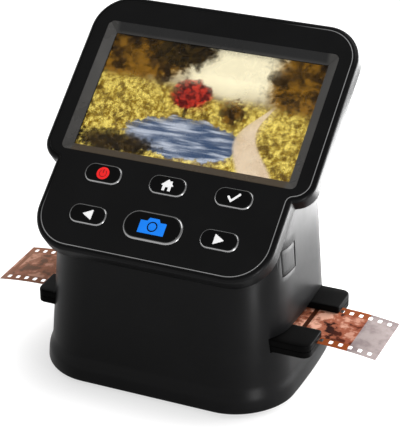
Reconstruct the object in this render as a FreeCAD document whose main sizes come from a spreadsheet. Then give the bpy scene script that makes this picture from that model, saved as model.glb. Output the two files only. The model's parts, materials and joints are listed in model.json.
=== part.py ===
import FreeCAD, Part
import math
import os
import re

import Sketcher
from FreeCAD import Placement, Rotation, Units, Vector

# A desk scanner for strips of 35 mm film. X runs to the right, Y to the back and Z up. The origin is the
# middle of the base plate's underside. Pieces of the slanted head are drawn in the face's own frame, with X
# across, Y up the slope and Z along the face's normal, zero at the face plate's surface.

# Driving sizes in millimetres, angles in degrees.
SIZES = {
    # Slanted face: its angle and the middle of the display
    "face_tilt": 37.74,
    "screen_y": 17.0,
    "screen_z": 125.6,
    # Display
    "picture_width": 110.7,
    "picture_height": 62.3,
    "bezel_side": 4.8,
    "bezel_rise": 0.37,
    "bezel_corner": 3.0,
    "bezel_lip": 0.3,
    "bezel_depth": 2.4,
    "window_margin": 3.6,
    "window_thick": 0.7,
    "display_margin": 2.6,
    "display_thick": 2.7,
    # Outline of the face: a wide head above, a narrower button panel below
    "head_side": 11.65,
    "head_brow": 17.85,
    "head_corner": 16.5,
    "shoulder_rise": 0.25,
    "shoulder_radius": 8.5,
    "shoulder_step": 9.0,
    "notch_radius": 3.0,
    "panel_tail": 16.8,
    "panel_corner": 18.0,
    # Head housing round the face
    "rim_outset": 2.3,
    "rim_chamfer": 1.3,
    "rim_depth": 9.0,
    "head_wall": 3.0,
    "head_back": 2.0,
    "wiring_width": 18.0,
    "wiring_height": 12.0,
    "wiring_level": 18.0,
    "wiring_x": 23.0,
    # Face plate and the bright trim round it
    "plate_thick": 2.2,
    "trim_wide": 0.7,
    "fit_gap": 0.05,
    # Buttons
    "column_room": 8.9,
    "row_drop": 14.15,
    "row_pitch": 21.7,
    "button_width": 19.0,
    "button_height": 10.0,
    "button_corner": 4.6,
    "capture_width": 30.0,
    "capture_height": 15.0,
    "capture_corner": 7.3,
    "ring_wall": 0.5,
    "cap_gap": 0.15,
    "cap_rise": 1.1,
    "cap_chamfer": 0.5,
    "flange_wide": 1.0,
    "flange_thick": 0.8,
    "stem_side": 3.0,
    "stem_room": 0.25,
    "button_travel": 0.8,
    # Keypad and its board
    "keypad_margin": 2.5,
    "keypad_web": 0.5,
    "keypad_skirt": 1.5,
    "board_thin": 1.0,
    "switch_side": 6.0,
    "switch_thick": 1.1,
    "plunger_side": 3.2,
    # Tower
    "tower_half_width": 63.3,
    "tower_front_room": 16.6,
    "tower_rear_room": 22.8,
    "tower_corner": 27.0,
    "tower_reach": 150.0,
    "tower_wall": 2.4,
    "plinth_flare": 1.5,
    "plinth_chamfer": 0.8,
    "plinth_height": 5.5,
    "flare_top": 13.0,
    "flare_edge": 0.1,
    # Posts that take the base's and the head's screws
    "boss_side": 7.0,
    "boss_length": 14.0,
    "boss_inset": 11.8,
    "boss_rear_inset": 12.8,
    "head_boss_low_inset": 10.8,
    "head_boss_low": 50.0,
    "head_boss_high_inset": 22.3,
    "head_boss_high": 8.0,
    # Base plate and feet
    "base_thick": 2.5,
    "base_gap": 0.3,
    "foot_side": 8.4,
    "foot_proud": 1.8,
    "foot_seat": 0.6,
    "foot_edge": 0.7,
    "foot_inset": 25.3,
    # Film, to the 135 standard, with the length of a cut strip
    "film_wide": 35.0,
    "film_thick": 0.15,
    "film_length": 198.0,
    "film_middle": 5.0,
    "hole_pitch": 4.75,
    "hole_wide": 1.98,
    "hole_high": 2.8,
    "hole_margin": 2.0,
    # Film tray
    "tray_left_reach": 3.3,
    "tray_right_reach": 12.1,
    "tray_side": 11.0,
    "tray_y": -3.0,
    "tray_bottom": 28.6,
    "tray_lower_thick": 2.9,
    "tray_upper_thick": 3.4,
    "tray_corner": 4.0,
    "channel_deep": 0.35,
    "channel_gap": 0.2,
    "frame_wide": 38.0,
    "frame_high": 25.5,
    "notch_wide": 22.0,
    "notch_inset": 7.3,
    "notch_corner": 2.0,
    # Guides that carry the tray
    "running_gap": 0.3,
    "slot_gap": 0.5,
    "guide_inset": 12.3,
    "guide_plate": 2.2,
    "rail_wide": 2.0,
    "leg_side": 6.0,
    "guide_window_gap": 1.0,
    # Light box
    "board_thick": 1.6,
    "light_post_side": 5.0,
    "light_board_z": 7.2,
    "light_board_margin": 2.0,
    "light_box_margin": 7.0,
    "light_box_wall": 1.6,
    "light_ledge": 1.2,
    "diffuser_thick": 2.0,
    "lamp_side": 3.0,
    "lamp_thick": 1.0,
    "lamp_pitch": 11.0,
    # Camera
    "camera_flange": 7.0,
    "camera_flange_thick": 2.0,
    "hood_margin": 3.5,
    "hood_wall": 1.5,
    "hood_top": 58.0,
    "tube_wall": 2.5,
    "barrel_radius": 9.0,
    "barrel_bore": 5.2,
    "barrel_low": 56.0,
    "barrel_high": 74.0,
    "lens_thick": 3.0,
    "lens_inset": 1.0,
    "camera_board_z": 79.0,
    "camera_board_side": 28.0,
    "sensor_side": 9.0,
    "sensor_thick": 1.2,
    # Main board and its parts
    "main_board_z": 66.7,
    "board_side_room": 10.3,
    "board_front_room": 23.1,
    "main_board_back": 6.5,
    "main_strip": 9.5,
    "main_arm": 24.0,
    "shelf_wide": 8.0,
    "shelf_high": 5.0,
    "shelf_reach": 5.0,
    "shelf_x": 30.0,
    "chip_side": 12.0,
    "chip_thick": 1.4,
    "chip_inset": 16.0,
    "memory_side": 7.0,
    "memory_pitch": 10.0,
    "port_y": -15.5,
    "port_wide": 8.9,
    "port_high": 3.2,
    "port_wall": 0.35,
    "port_length": 7.4,
    "port_tongue": 0.7,
    "card_wide": 25.0,
    "card_length": 25.0,
    "card_high": 2.8,
    "card_wall": 0.35,
    "card_y": -7.0,
    # Port flap in the right wall
    "flap_front": -21.0,
    "flap_axis_y": -9.6,
    "flap_low": 63.2,
    "flap_high": 76.2,
    "flap_thick": 1.5,
    "flap_gap": 0.2,
    "barrel_turn": 1.2,
    "pin_radius": 0.55,
    "pin_gap": 0.05,
    "pocket_deep": 2.7,
    "pocket_wall": 2.0,
    # Display flex
    "flex_wide": 14.0,
    "flex_thick": 0.3,
    "flex_drop": 3.0,
    # One overrun for all cuts
    "overrun": 1.0,
}

# Sizes that follow from others
DERIVED = {
    "bezel_width": "picture_width + 2 * bezel_side",
    "bezel_height": "picture_height + 2 * bezel_side",
    "head_half_width": "picture_width / 2 + head_side",
    "head_top": "picture_height / 2 + head_brow",
    "shoulder_level": "picture_height / 2 - shoulder_rise",
    "panel_half_width": "head_half_width - shoulder_step",
    "upper_row": "picture_height / 2 + row_drop",
    "lower_row": "upper_row + row_pitch",
    "panel_bottom": "lower_row + panel_tail",
    "column_pitch": "capture_width / 2 + button_width / 2 + column_room",
    "keypad_width": "2 * (column_pitch + button_width / 2 + keypad_margin)",
    "keypad_height": "row_pitch + button_height / 2 + capture_height / 2 + 2 * keypad_margin",
    "keypad_level": "(upper_row + lower_row - button_height / 2 + capture_height / 2) / 2",
    "tray_wide": "film_wide + 2 * tray_side",
    "tower_front": "tray_wide / 2 - tray_y + tower_front_room",
    "tower_rear": "tray_wide / 2 + tray_y + tower_rear_room",
    "tray_left": "tower_half_width + tray_left_reach",
    "tray_right": "tower_half_width + tray_right_reach",
    "notch_from": "tower_half_width - notch_inset",
    "guide_half_length": "tower_half_width - guide_inset",
    "tray_middle": "tray_bottom + tray_lower_thick",
    "tray_top": "tray_middle + tray_upper_thick",
    "guide_top": "tray_top + running_gap",
    "guide_floor": "tray_bottom - running_gap - guide_plate",
    "foot_x": "tower_half_width - foot_inset",
    "foot_y": "tower_front - tower_wall - base_gap - foot_side / 2 - foot_edge",
    "boss_x": "tower_half_width - boss_inset",
    "boss_y": "tower_rear - boss_rear_inset",
    "head_boss_low_x": "tower_half_width - head_boss_low_inset",
    "head_boss_high_x": "tower_half_width - head_boss_high_inset",
    "light_board_length": "light_box_length + 2 * light_board_margin",
    "light_board_wide": "light_box_wide + 2 * light_board_margin",
    "light_box_length": "frame_wide + 2 * light_box_margin",
    "light_box_wide": "frame_high + 2 * light_box_margin",
    "light_foot": "light_board_z + board_thick",
    "hood_length": "frame_wide + 2 * hood_margin",
    "hood_side": "frame_high + 2 * hood_margin",
    "tube_side": "2 * (barrel_radius + tube_wall)",
    "main_board_half": "tower_half_width - board_side_room",
    "main_board_front": "tower_front - board_front_room",
    "main_top": "main_board_z + board_thick",
    "main_row": "main_strip / 2 - main_board_front",
    "head_floor": "head_back - rim_depth",
    "skirt_foot": "head_floor + board_thin",
    "cap_foot": "0 - plate_thick - fit_gap",
    "flange_foot": "cap_foot - flange_thick",
    "keypad_top": "flange_foot - fit_gap - button_travel",
    "cap_less": "2 * (ring_wall + cap_gap)",
}

# How far each wall leans in for each millimetre of height
SIDE_LEAN_SHARE = 0.055
FRONT_LEAN_SHARE = 0.116
REAR_LEAN_SHARE = 0.018

# Where each button lies: its column left or right of the middle, the size that names its row, and its kind
BUTTONS = {
    "power_button": (-1, "upper_row", "button"),
    "home_button": (0, "upper_row", "button"),
    "confirm_button": (1, "upper_row", "button"),
    "back_button": (-1, "lower_row", "button"),
    "capture_button": (0, "lower_row", "capture"),
    "forward_button": (1, "lower_row", "button"),
}

ALIASES = {**SIZES, **DERIVED}
doc = FreeCAD.newDocument("film_scanner")
sheet = doc.addObject("Spreadsheet::Sheet", "sizes")
for row, alias in enumerate(ALIASES, start=1):
    sheet.set("A%d" % row, alias)
    sheet.setAlias("B%d" % row, alias)
for row, content in enumerate(ALIASES.values(), start=1):
    sheet.set("B%d" % row, "=%s" % content)
doc.recompute()

kept = []
WORD = re.compile(r"[a-z][a-z_]*[a-z]")


class Sheet:
    """Reads a size from the sheet by its alias."""

    def __getattr__(self, alias):
        return float(sheet.get(alias))


s = Sheet()


def linked(expression):
    """Writes the sheet's name before each alias of an expression."""
    return WORD.sub(lambda word: "sizes." + word[0] if word[0] in ALIASES else word[0], expression)


def value(expression):
    """Works an expression out from the sheet's numbers, for a sketch's first drawing."""
    def number(word):
        return "(%r)" % getattr(s, word[0]) if word[0] in ALIASES else word[0]

    filled = WORD.sub(number, expression)
    return Units.Quantity(filled).Value


def bind(piece, **bound):
    for name, expression in bound.items():
        piece.setExpression(name.replace("__", "."), linked(expression))
    return piece


def keep(piece, label):
    piece.Label = label
    kept.append(piece)
    return piece


def on_face(piece):
    """Lays a piece that is drawn in the face's frame on the slanted face."""
    piece.Placement = Placement(Vector(), Rotation(Vector(1, 0, 0), s.face_tilt))
    return bind(
        piece,
        Placement__Base__y="screen_y",
        Placement__Base__z="screen_z",
        Placement__Rotation__Angle="face_tilt",
    )


def plane_of(body, role):
    return [plane for plane in body.Origin.OriginFeatures if plane.Role == role][0]


def drawing_on(body, x, y, level):
    drawing = body.newObject("Sketcher::SketchObject", body.Name + "_sketch")
    drawing.AttachmentSupport = [(plane_of(body, "XY_Plane"), "")]
    drawing.MapMode = "FlatFace"
    return bind(
        drawing, AttachmentOffset__Base__x=x, AttachmentOffset__Base__y=y, AttachmentOffset__Base__z=level
    )


def dimensioned(drawing, *rules):
    """Adds a sketch's bound dimensions: kind, what it measures, name and size."""
    for kind, places, name, size in rules:
        index = drawing.addConstraint(Sketcher.Constraint(kind, *places, value(size)))
        drawing.renameConstraint(index, name)
        drawing.setExpression("Constraints." + name, linked(size))
    return drawing


def rectangle(drawing, width, height):
    """Draws a rectangle round the sketch's own origin, with both sizes bound."""
    half_w, half_h = value(width) / 2, value(height) / 2
    corners = [(-half_w, -half_h), (half_w, -half_h), (half_w, half_h), (-half_w, half_h)]
    for start, end in zip(corners, corners[1:] + corners[:1]):
        drawing.addGeometry(Part.LineSegment(Vector(*start), Vector(*end)))
    for line in range(4):
        drawing.addConstraint(Sketcher.Constraint("Coincident", line, 2, (line + 1) % 4, 1))
        drawing.addConstraint(Sketcher.Constraint("Vertical" if line % 2 else "Horizontal", line))
    drawing.addConstraint(Sketcher.Constraint("Symmetric", 0, 1, 2, 1, -1, 1))
    return dimensioned(
        drawing, ("DistanceX", (0, 1, 0, 2), "width", width), ("DistanceY", (1, 1, 1, 2), "height", height)
    )


def rounded_rectangle(drawing, width, height, radius):
    """Draws a rounded rectangle round the sketch's own origin, with its three sizes bound."""
    half_w, half_h, corner = value(width) / 2, value(height) / 2, value(radius)
    inner_w, inner_h = half_w - corner, half_h - corner
    quarter = math.pi / 2
    centres = ((inner_w, -inner_h), (inner_w, inner_h), (-inner_w, inner_h), (-inner_w, -inner_h))
    ends = (
        ((-inner_w, -half_h), (inner_w, -half_h)),
        ((half_w, -inner_h), (half_w, inner_h)),
        ((inner_w, half_h), (-inner_w, half_h)),
        ((-half_w, inner_h), (-half_w, -inner_h)),
    )
    for turn, (centre, (start, end)) in enumerate(zip(centres, ends)):
        drawing.addGeometry(Part.LineSegment(Vector(*start), Vector(*end)))
        circle = Part.Circle(Vector(*centre), Vector(0, 0, 1), corner)
        drawing.addGeometry(Part.ArcOfCircle(circle, quarter * (turn - 1), quarter * turn))
    lines, arcs = (0, 2, 4, 6), (1, 3, 5, 7)
    for line, arc in zip(lines, arcs):
        drawing.addConstraint(Sketcher.Constraint("Tangent", line, 2, arc, 1))
        drawing.addConstraint(Sketcher.Constraint("Tangent", arc, 2, (arc + 1) % 8, 1))
    for line in (0, 4):
        drawing.addConstraint(Sketcher.Constraint("Horizontal", line))
        drawing.addConstraint(Sketcher.Constraint("Vertical", line + 2))
    for arc in arcs[1:]:
        drawing.addConstraint(Sketcher.Constraint("Equal", arcs[0], arc))
    drawing.addConstraint(Sketcher.Constraint("Symmetric", 0, 1, 4, 1, -1, 1))
    return dimensioned(
        drawing,
        ("DistanceX", (6, 1, 2, 1), "width", width),
        ("DistanceY", (0, 1, 4, 1), "height", height),
        ("Radius", (1,), "corner", radius),
    )


def pad(body, drawing, height):
    piece = body.newObject("PartDesign::Pad", body.Name + "_pad")
    piece.Profile = drawing
    bind(piece, Length=height)
    drawing.Visibility = False
    return piece


def pocket(body, drawing, depth):
    """Cuts downwards from the sketch, and checks that something was cut."""
    doc.recompute()
    before = body.Shape.Volume
    piece = body.newObject("PartDesign::Pocket", body.Name + "_pocket")
    piece.Profile = drawing
    bind(piece, Length=depth)
    doc.recompute()
    if body.Shape.Volume >= before:
        raise ValueError(body.Label + ": a pocket cuts nothing")
    return piece


def slab(label, x, y, level, width, depth, thick, radius=None):
    """A body whose first pad is a plate on the given level, its corners sharp or round."""
    body = doc.addObject("PartDesign::Body", label)
    drawing = drawing_on(body, x, y, level)
    if radius:
        rounded_rectangle(drawing, width, depth, radius)
    else:
        rectangle(drawing, width, depth)
    pad(body, drawing, thick)
    return body


def sink(body, x, y, top, width, depth, down, radius=None):
    drawing = drawing_on(body, x, y, top)
    if radius:
        rounded_rectangle(drawing, width, depth, radius)
    else:
        rectangle(drawing, width, depth)
    return pocket(body, drawing, down)


def block(name, x, y, z, length, wide, high):
    """A box whose low corner and three sizes are bound."""
    piece = doc.addObject("Part::Box", name)
    bind(piece, Length=length, Width=wide, Height=high)
    return bind(piece, Placement__Base__x=x, Placement__Base__y=y, Placement__Base__z=z)


def centred(name, y, z, length, wide, high):
    """A bound box that stands astride the middle in X and round the given place in Y."""
    return block(name, "0 - (%s) / 2" % length, "%s - (%s) / 2" % (y, wide), z, length, wide, high)


def rod(name, x, y, z, radius, high):
    piece = doc.addObject("Part::Cylinder", name)
    bind(piece, Radius=radius, Height=high)
    return bind(piece, Placement__Base__x=x, Placement__Base__y=y, Placement__Base__z=z)


def fused(name, *pieces):
    piece = doc.addObject("Part::MultiFuse", name)
    piece.Shapes = list(pieces)
    return piece


def cut(name, base, *tools):
    piece = doc.addObject("Part::Cut", name)
    piece.Base = base
    piece.Tool = tools[0] if len(tools) == 1 else fused(name + "_tools", *tools)
    return piece


def compound(name, *pieces):
    piece = doc.addObject("Part::Compound", name)
    piece.Links = list(pieces)
    return piece


def feature(label, shape):
    piece = doc.addObject("Part::Feature", label)
    piece.Shape = shape
    return keep(piece, label)


def on_circle(centre_x, centre_y, radius, degrees, level):
    turn = math.radians(degrees)
    return Vector(centre_x + radius * math.cos(turn), centre_y + radius * math.sin(turn), level)


def edges_of(start, steps):
    """Joins steps of one point (straight) or two points (an arc's middle and end) into edges."""
    edges, here = [], start
    for step in steps:
        curve = Part.LineSegment(here, step[0]) if len(step) == 1 else Part.Arc(here, *step)
        edges.append(curve.toShape())
        here = step[-1]
    return edges


def arc_step(centre_x, centre_y, radius, start, end, level):
    middle = on_circle(centre_x, centre_y, radius, (start + end) / 2, level)
    return middle, on_circle(centre_x, centre_y, radius, end, level)


def prism(wire, height):
    return Part.Face(wire).extrude(Vector(0, 0, height))


def flat(*points):
    """A plane face through its corners."""
    return Part.Face(Part.makePolygon([*points, points[0]]))


def solid_between(low, high):
    """The solid with plane faces between two rings of corners, each given anticlockwise from above."""
    sides = [flat(low[i - 1], low[i], high[i], high[i - 1]) for i in range(len(low))]
    return Part.Solid(Part.Shell(sides + [flat(*reversed(low)), flat(*high)]))


def box_between(low, high):
    """A plain box between two corners."""
    return Part.makeBox(*[b - a for a, b in zip(low, high)], Vector(*low))


def laid(piece):
    """Lays a plain shape's feature on the slanted face."""
    piece.Placement = FACE
    return piece


FACE = Placement(Vector(0, s.screen_y, s.screen_z), Rotation(Vector(1, 0, 0), s.face_tilt))


def face_outline(outset, level):
    """The face's outline, moved outwards: the head, its shoulders, and the narrower button panel."""
    shoulder, notch = s.shoulder_radius, s.notch_radius
    turn = math.degrees(math.acos(1 - (s.head_half_width - s.panel_half_width) / (shoulder + notch)))
    notch_y = -s.shoulder_level - (shoulder + notch) * math.sin(math.radians(turn))
    head_x, panel_x = s.head_half_width + outset, s.panel_half_width + outset
    top, bottom = s.head_top + outset, -s.panel_bottom - outset
    corner_x, corner_y = s.head_half_width - s.head_corner, s.head_top - s.head_corner
    low_x, low_y = s.panel_half_width - s.panel_corner, s.panel_corner - s.panel_bottom
    shoulder_x, notch_x = s.head_half_width - shoulder, s.panel_half_width + notch
    steps = [
        (Vector(low_x, bottom, level),),
        arc_step(low_x, low_y, s.panel_corner + outset, -90, 0, level),
        (Vector(panel_x, notch_y, level),),
        arc_step(notch_x, notch_y, notch - outset, 180, 180 - turn, level),
        arc_step(shoulder_x, -s.shoulder_level, shoulder + outset, -turn, 0, level),
        (Vector(head_x, corner_y, level),),
        arc_step(corner_x, corner_y, s.head_corner + outset, 0, 90, level),
        (Vector(-corner_x, top, level),),
        arc_step(-corner_x, corner_y, s.head_corner + outset, 90, 180, level),
        (Vector(-head_x, -s.shoulder_level, level),),
        arc_step(-shoulder_x, -s.shoulder_level, shoulder + outset, 180, 180 + turn, level),
        arc_step(-notch_x, notch_y, notch - outset, turn, 0, level),
        (Vector(-panel_x, low_y, level),),
        arc_step(-low_x, low_y, s.panel_corner + outset, 180, 270, level),
    ]
    return Part.Wire(edges_of(Vector(-low_x, bottom, level), steps))


def wall_x(level):
    """The right wall's outside at a height."""
    return s.tower_half_width - SIDE_LEAN_SHARE * level


def wall_places(level, inset):
    """The tower's half width, front and rear at a height, moved inwards."""
    front = inset - s.tower_front + FRONT_LEAN_SHARE * level
    rear = s.tower_rear - REAR_LEAN_SHARE * level - inset
    return wall_x(level) - inset, front, rear


def leaning_block(inset, low, high):
    """The tower's leaning walls as true planes, with round corners."""
    rings = []
    for level in (low, high):
        wide, front, rear = wall_places(level, inset)
        corners = ((-wide, front), (wide, front), (wide, rear), (-wide, rear))
        rings.append([Vector(*corner, level) for corner in corners])
    solid = solid_between(*rings)
    posts = [edge for edge in solid.Edges if edge.BoundBox.ZLength > (high - low) / 2]
    return solid.makeFillet(s.tower_corner - inset, posts)


def plinth_edges(level, outset):
    """The plinth's outline at a height: four straight runs, each followed by a quarter circle."""
    wide, front, rear = wall_places(level, -outset)
    corner = s.tower_corner + outset
    x, near, far = wide - corner, front + corner, rear - corner
    steps = [
        (Vector(x, front, level),),
        arc_step(x, near, corner, -90, 0, level),
        (Vector(wide, far, level),),
        arc_step(x, far, corner, 0, 90, level),
        (Vector(-x, rear, level),),
        arc_step(-x, far, corner, 90, 180, level),
        (Vector(-wide, near, level),),
        arc_step(-x, near, corner, 180, 270, level),
    ]
    return edges_of(Vector(-x, front, level), steps)


def plinth():
    """The flared foot of the tower: a chamfer, a straight band, and one that fades into the walls."""
    rings = [
        plinth_edges(0, s.plinth_flare - s.plinth_chamfer),
        plinth_edges(s.plinth_chamfer, s.plinth_flare),
        plinth_edges(s.plinth_height, s.plinth_flare),
        plinth_edges(s.flare_top, s.flare_edge),
    ]
    faces = []
    for lower, upper in zip(rings, rings[1:]):
        for low, high in zip(lower, upper):
            if isinstance(low.Curve, Part.Circle):
                faces.append(Part.makeRuledSurface(low, high))
            else:
                ends = [low.firstVertex(), low.lastVertex(), high.lastVertex(), high.firstVertex()]
                faces.append(flat(*[end.Point for end in ends]))
    faces += [Part.Face(Part.Wire(rings[0])).reversed(), Part.Face(Part.Wire(rings[-1]))]
    return Part.Solid(Part.Shell(faces))


def pin_axis():
    """The flap hinge's axis: a point at height zero and the direction that follows the leaning wall."""
    return Vector(wall_x(0) - s.barrel_turn, s.flap_axis_y, 0), Vector(-SIDE_LEAN_SHARE, 0, 1)


def along_pin(radius, low, high):
    """A round bar on the flap hinge's axis between two heights."""
    foot, way = pin_axis()
    start = foot + way * low
    reach = way * (high - low)
    return Part.makeCylinder(radius, reach.Length, start, reach)


# Casings

def bosses():
    """Posts in the corners of the base and behind the head, which take the screws."""
    half, found = s.boss_side / 2, []
    for side in (-1, 1):
        for end in (-1, 1):
            x, y = side * s.boss_x, end * s.boss_y
            top = s.base_thick + s.boss_length
            found.append(box_between((x - half, y - half, s.base_thick), (x + half, y + half, top)))
        for across, up in ((s.head_boss_low_x, -s.head_boss_low), (s.head_boss_high_x, s.head_boss_high)):
            x, low = side * across, -s.rim_depth - s.boss_length
            post = box_between((x - half, up - half, low), (x + half, up + half, s.overrun - s.rim_depth))
            post.Placement = FACE
            found.append(post)
    return found


def board_shelves():
    """Ledges on the side and front walls under the main board."""
    wide, deep = s.tower_half_width + s.overrun, s.tower_front + s.overrun
    low, top, half = s.main_board_z - s.shelf_high, s.main_board_z, s.shelf_wide / 2
    found = []
    for side in (-1, 1):
        near, far = sorted((side * (s.main_board_half + s.fit_gap - s.shelf_reach), side * wide))
        found.append(box_between((near, s.card_y - half, low), (far, s.card_y + half, top)))
        x, back = side * s.shelf_x, s.shelf_reach - s.main_board_front
        found.append(box_between((x - half, -deep, low), (x + half, back, top)))
    return found


def port_backing():
    """The thick place behind the flap, which holds the hinge and frames the port."""
    back = s.main_board_half + s.fit_gap
    low = (back, s.flap_front - s.pocket_wall, s.flap_low - s.pocket_wall)
    high = (s.tower_half_width, s.flap_axis_y + s.barrel_turn + s.pocket_wall, s.flap_high + s.pocket_wall)
    return box_between(low, high)


def body_shell():
    """Moulded tower: hollow, open at the base, cut off under the head, with slots, posts and ledges."""
    outside = leaning_block(0, 0, s.tower_reach).fuse(plinth())
    shell = outside.cut(leaning_block(s.tower_wall, -s.overrun, s.tower_reach))
    added = [piece.common(outside) for piece in [*bosses(), *board_shelves(), port_backing()]]
    shell = shell.fuse(added)
    for cutter in shell_cutters():
        shell = shell.cut(cutter)
    return feature("body_shell", shell.removeSplitter())


def shell_cutters():
    """What is cut from the shell: the part above the head's back, the slots, and the flap's pocket."""
    reach, wide = s.tower_reach, s.tower_half_width + s.plinth_flare
    top = Part.makeBox(2 * reach, 2 * reach, reach, Vector(-reach, -reach, -s.rim_depth))
    top.Placement = FACE
    half = s.tray_wide / 2 + s.slot_gap
    slot = box_between(
        (-wide, s.tray_y - half, s.tray_bottom - s.slot_gap), (wide, s.tray_y + half, s.tray_top + s.slot_gap)
    )
    half = s.card_wide / 2
    card = box_between(
        (-wide, s.card_y - half, s.main_top), (-s.main_board_half, s.card_y + half, s.main_top + s.card_high)
    )
    half = s.port_wide / 2 + s.fit_gap
    port = box_between(
        (0, s.port_y - half, s.main_top - s.fit_gap),
        (wide, s.port_y + half, s.main_top + s.port_high + s.fit_gap),
    )
    ends = s.pocket_wall / 2
    pin_seat = along_pin(s.pin_radius, s.flap_low - ends, s.flap_high + ends)
    return [top, slot, card, port, flap_place(s.pocket_deep, s.flap_gap), pin_seat]


def wall_skin(deep, proud=0):
    """The outermost layer of the tower's walls, down to a depth."""
    reach = s.tower_reach
    return leaning_block(-proud, 0, reach).cut(leaning_block(deep, -s.overrun, reach + s.overrun))


def flap_place(deep, gap):
    """The flap's pocket in the right wall, to a depth below the surface, with a gap round it."""
    low = (s.main_board_half, s.flap_front - gap, s.flap_low - gap)
    high = (s.tower_half_width, s.flap_axis_y + s.barrel_turn + gap, s.flap_high + gap)
    return box_between(low, high).common(wall_skin(deep, s.overrun))


def port_flap():
    """Flap that follows the wall's surface, with a hinge barrel at its rear edge."""
    low = (s.main_board_half, s.flap_front, s.flap_low)
    high = (s.tower_half_width, s.flap_axis_y, s.flap_high)
    leaf = box_between(low, high).common(wall_skin(s.flap_thick))
    barrel = along_pin(s.barrel_turn, s.flap_low, s.flap_high)
    bore = along_pin(s.pin_radius + s.pin_gap, s.flap_low - s.overrun, s.flap_high + s.overrun)
    return feature("port_flap", leaf.fuse(barrel).cut(bore).removeSplitter())


def flap_pin():
    ends = s.pocket_wall / 2
    return feature("flap_pin", along_pin(s.pin_radius, s.flap_low - ends, s.flap_high + ends))


def head_housing():
    """Rim and back of the slanted head, with eased edges and a seat for the face plate."""
    outside = prism(face_outline(s.rim_outset, -s.rim_depth), s.rim_depth)
    front = [edge for edge in outside.Edges if edge.BoundBox.ZMin > -s.fit_gap]
    outside = outside.makeChamfer(s.rim_chamfer, front)
    seat = prism(face_outline(0, -s.plate_thick), s.plate_thick + s.overrun)
    depth = s.rim_depth - s.head_back
    hollow = prism(face_outline(-s.head_wall, -depth), depth)
    half_w, half_h = s.wiring_width / 2, s.wiring_height / 2
    wiring = box_between(
        (s.wiring_x - half_w, -s.wiring_level - half_h, -s.rim_depth - s.overrun),
        (s.wiring_x + half_w, -s.wiring_level + half_h, -depth + s.overrun),
    )
    return laid(feature("head_housing", outside.cut(seat).cut(hollow).cut(wiring)))


def rounded_bar(centre, width, height, corner, low, high):
    """A rounded rectangular bar along the face's normal."""
    half_w, half_h = width / 2 - corner, height / 2 - corner
    x, y = centre
    steps = [
        (Vector(x + half_w, y - height / 2, low),),
        arc_step(x + half_w, y - half_h, corner, -90, 0, low),
        (Vector(x + width / 2, y + half_h, low),),
        arc_step(x + half_w, y + half_h, corner, 0, 90, low),
        (Vector(x - half_w, y + height / 2, low),),
        arc_step(x - half_w, y + half_h, corner, 90, 180, low),
        (Vector(x - width / 2, y - half_h, low),),
        arc_step(x - half_w, y - half_h, corner, 180, 270, low),
    ]
    return prism(Part.Wire(edges_of(Vector(x - half_w, y - height / 2, low), steps)), high - low)


def face_plate():
    """Black front plate with the display's opening, six button holes and room for a trim line round it."""
    plate = prism(face_outline(-2 * s.fit_gap - s.trim_wide, -s.plate_thick), s.plate_thick)
    low, high = -s.plate_thick - s.overrun, s.overrun
    room = 2 * s.fit_gap
    cutters = [
        rounded_bar((0, s.bezel_rise), s.bezel_width + room, s.bezel_height + room, s.bezel_corner, low, high)
    ]
    for column, row, kind in BUTTONS.values():
        width, height, corner = (getattr(s, kind + "_" + size) for size in ("width", "height", "corner"))
        middle = column * s.column_pitch, -getattr(s, row)
        cutters.append(rounded_bar(middle, width + room, height + room, corner + s.fit_gap, low, high))
    return laid(feature("face_plate", plate.cut(cutters)))


def place_of(column, row):
    """A button's place on the face, as two expressions."""
    return "%d * column_pitch" % column, "0 - " + row


def buttons():
    """Six caps, each with a holding flange under the plate and a stem over its switch."""
    for name, (column, row, kind) in BUTTONS.items():
        x, y = place_of(column, row)
        width, height = kind + "_width - cap_less", kind + "_height - cap_less"
        body = slab(
            name, x, y, "cap_foot", width, height, "cap_rise - cap_foot", kind + "_corner - cap_less / 2"
        )
        doc.recompute()
        top = max(edge.BoundBox.ZMin for edge in body.Shape.Edges)
        rim = [
            "Edge%d" % number for number, edge in enumerate(body.Shape.Edges, start=1)
            if edge.BoundBox.ZMin > top - s.fit_gap
        ]
        blank = body.Tip
        crown = body.newObject("PartDesign::Chamfer", name + "_crown")
        crown.Base = (blank, rim)
        bind(crown, Size="cap_chamfer")
        flange = drawing_on(body, x, y, "flange_foot")
        sides = width + " + 2 * flange_wide", height + " + 2 * flange_wide"
        pad(body, rectangle(flange, *sides), "flange_thick")
        stem = drawing_on(body, x, y, "keypad_top + fit_gap")
        pad(body, rectangle(stem, "stem_side", "stem_side"), "flange_foot - keypad_top - fit_gap")
        keep(on_face(body), name)


def keypad():
    """Flexible pad with a skirt that stands on the button board, pierced for the stems."""
    y = "0 - keypad_level"
    body = slab(
        "keypad_membrane", "0", y, "skirt_foot",
        "keypad_width", "keypad_height", "keypad_top - skirt_foot",
    )
    sink(
        body, "0", y, "keypad_top - keypad_web",
        "keypad_width - 2 * keypad_skirt", "keypad_height - 2 * keypad_skirt",
        "keypad_top - keypad_web - skirt_foot",
    )
    for column, row, kind in BUTTONS.values():
        side = "stem_side + 2 * stem_room"
        sink(body, *place_of(column, row), "keypad_top", side, side, "keypad_web")
    return keep(on_face(body), "keypad_membrane")


def button_board():
    body = slab(
        "button_board", "0", "0 - keypad_level", "head_floor",
        "keypad_width", "keypad_height", "board_thin",
    )
    return keep(on_face(body), "button_board")


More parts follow.
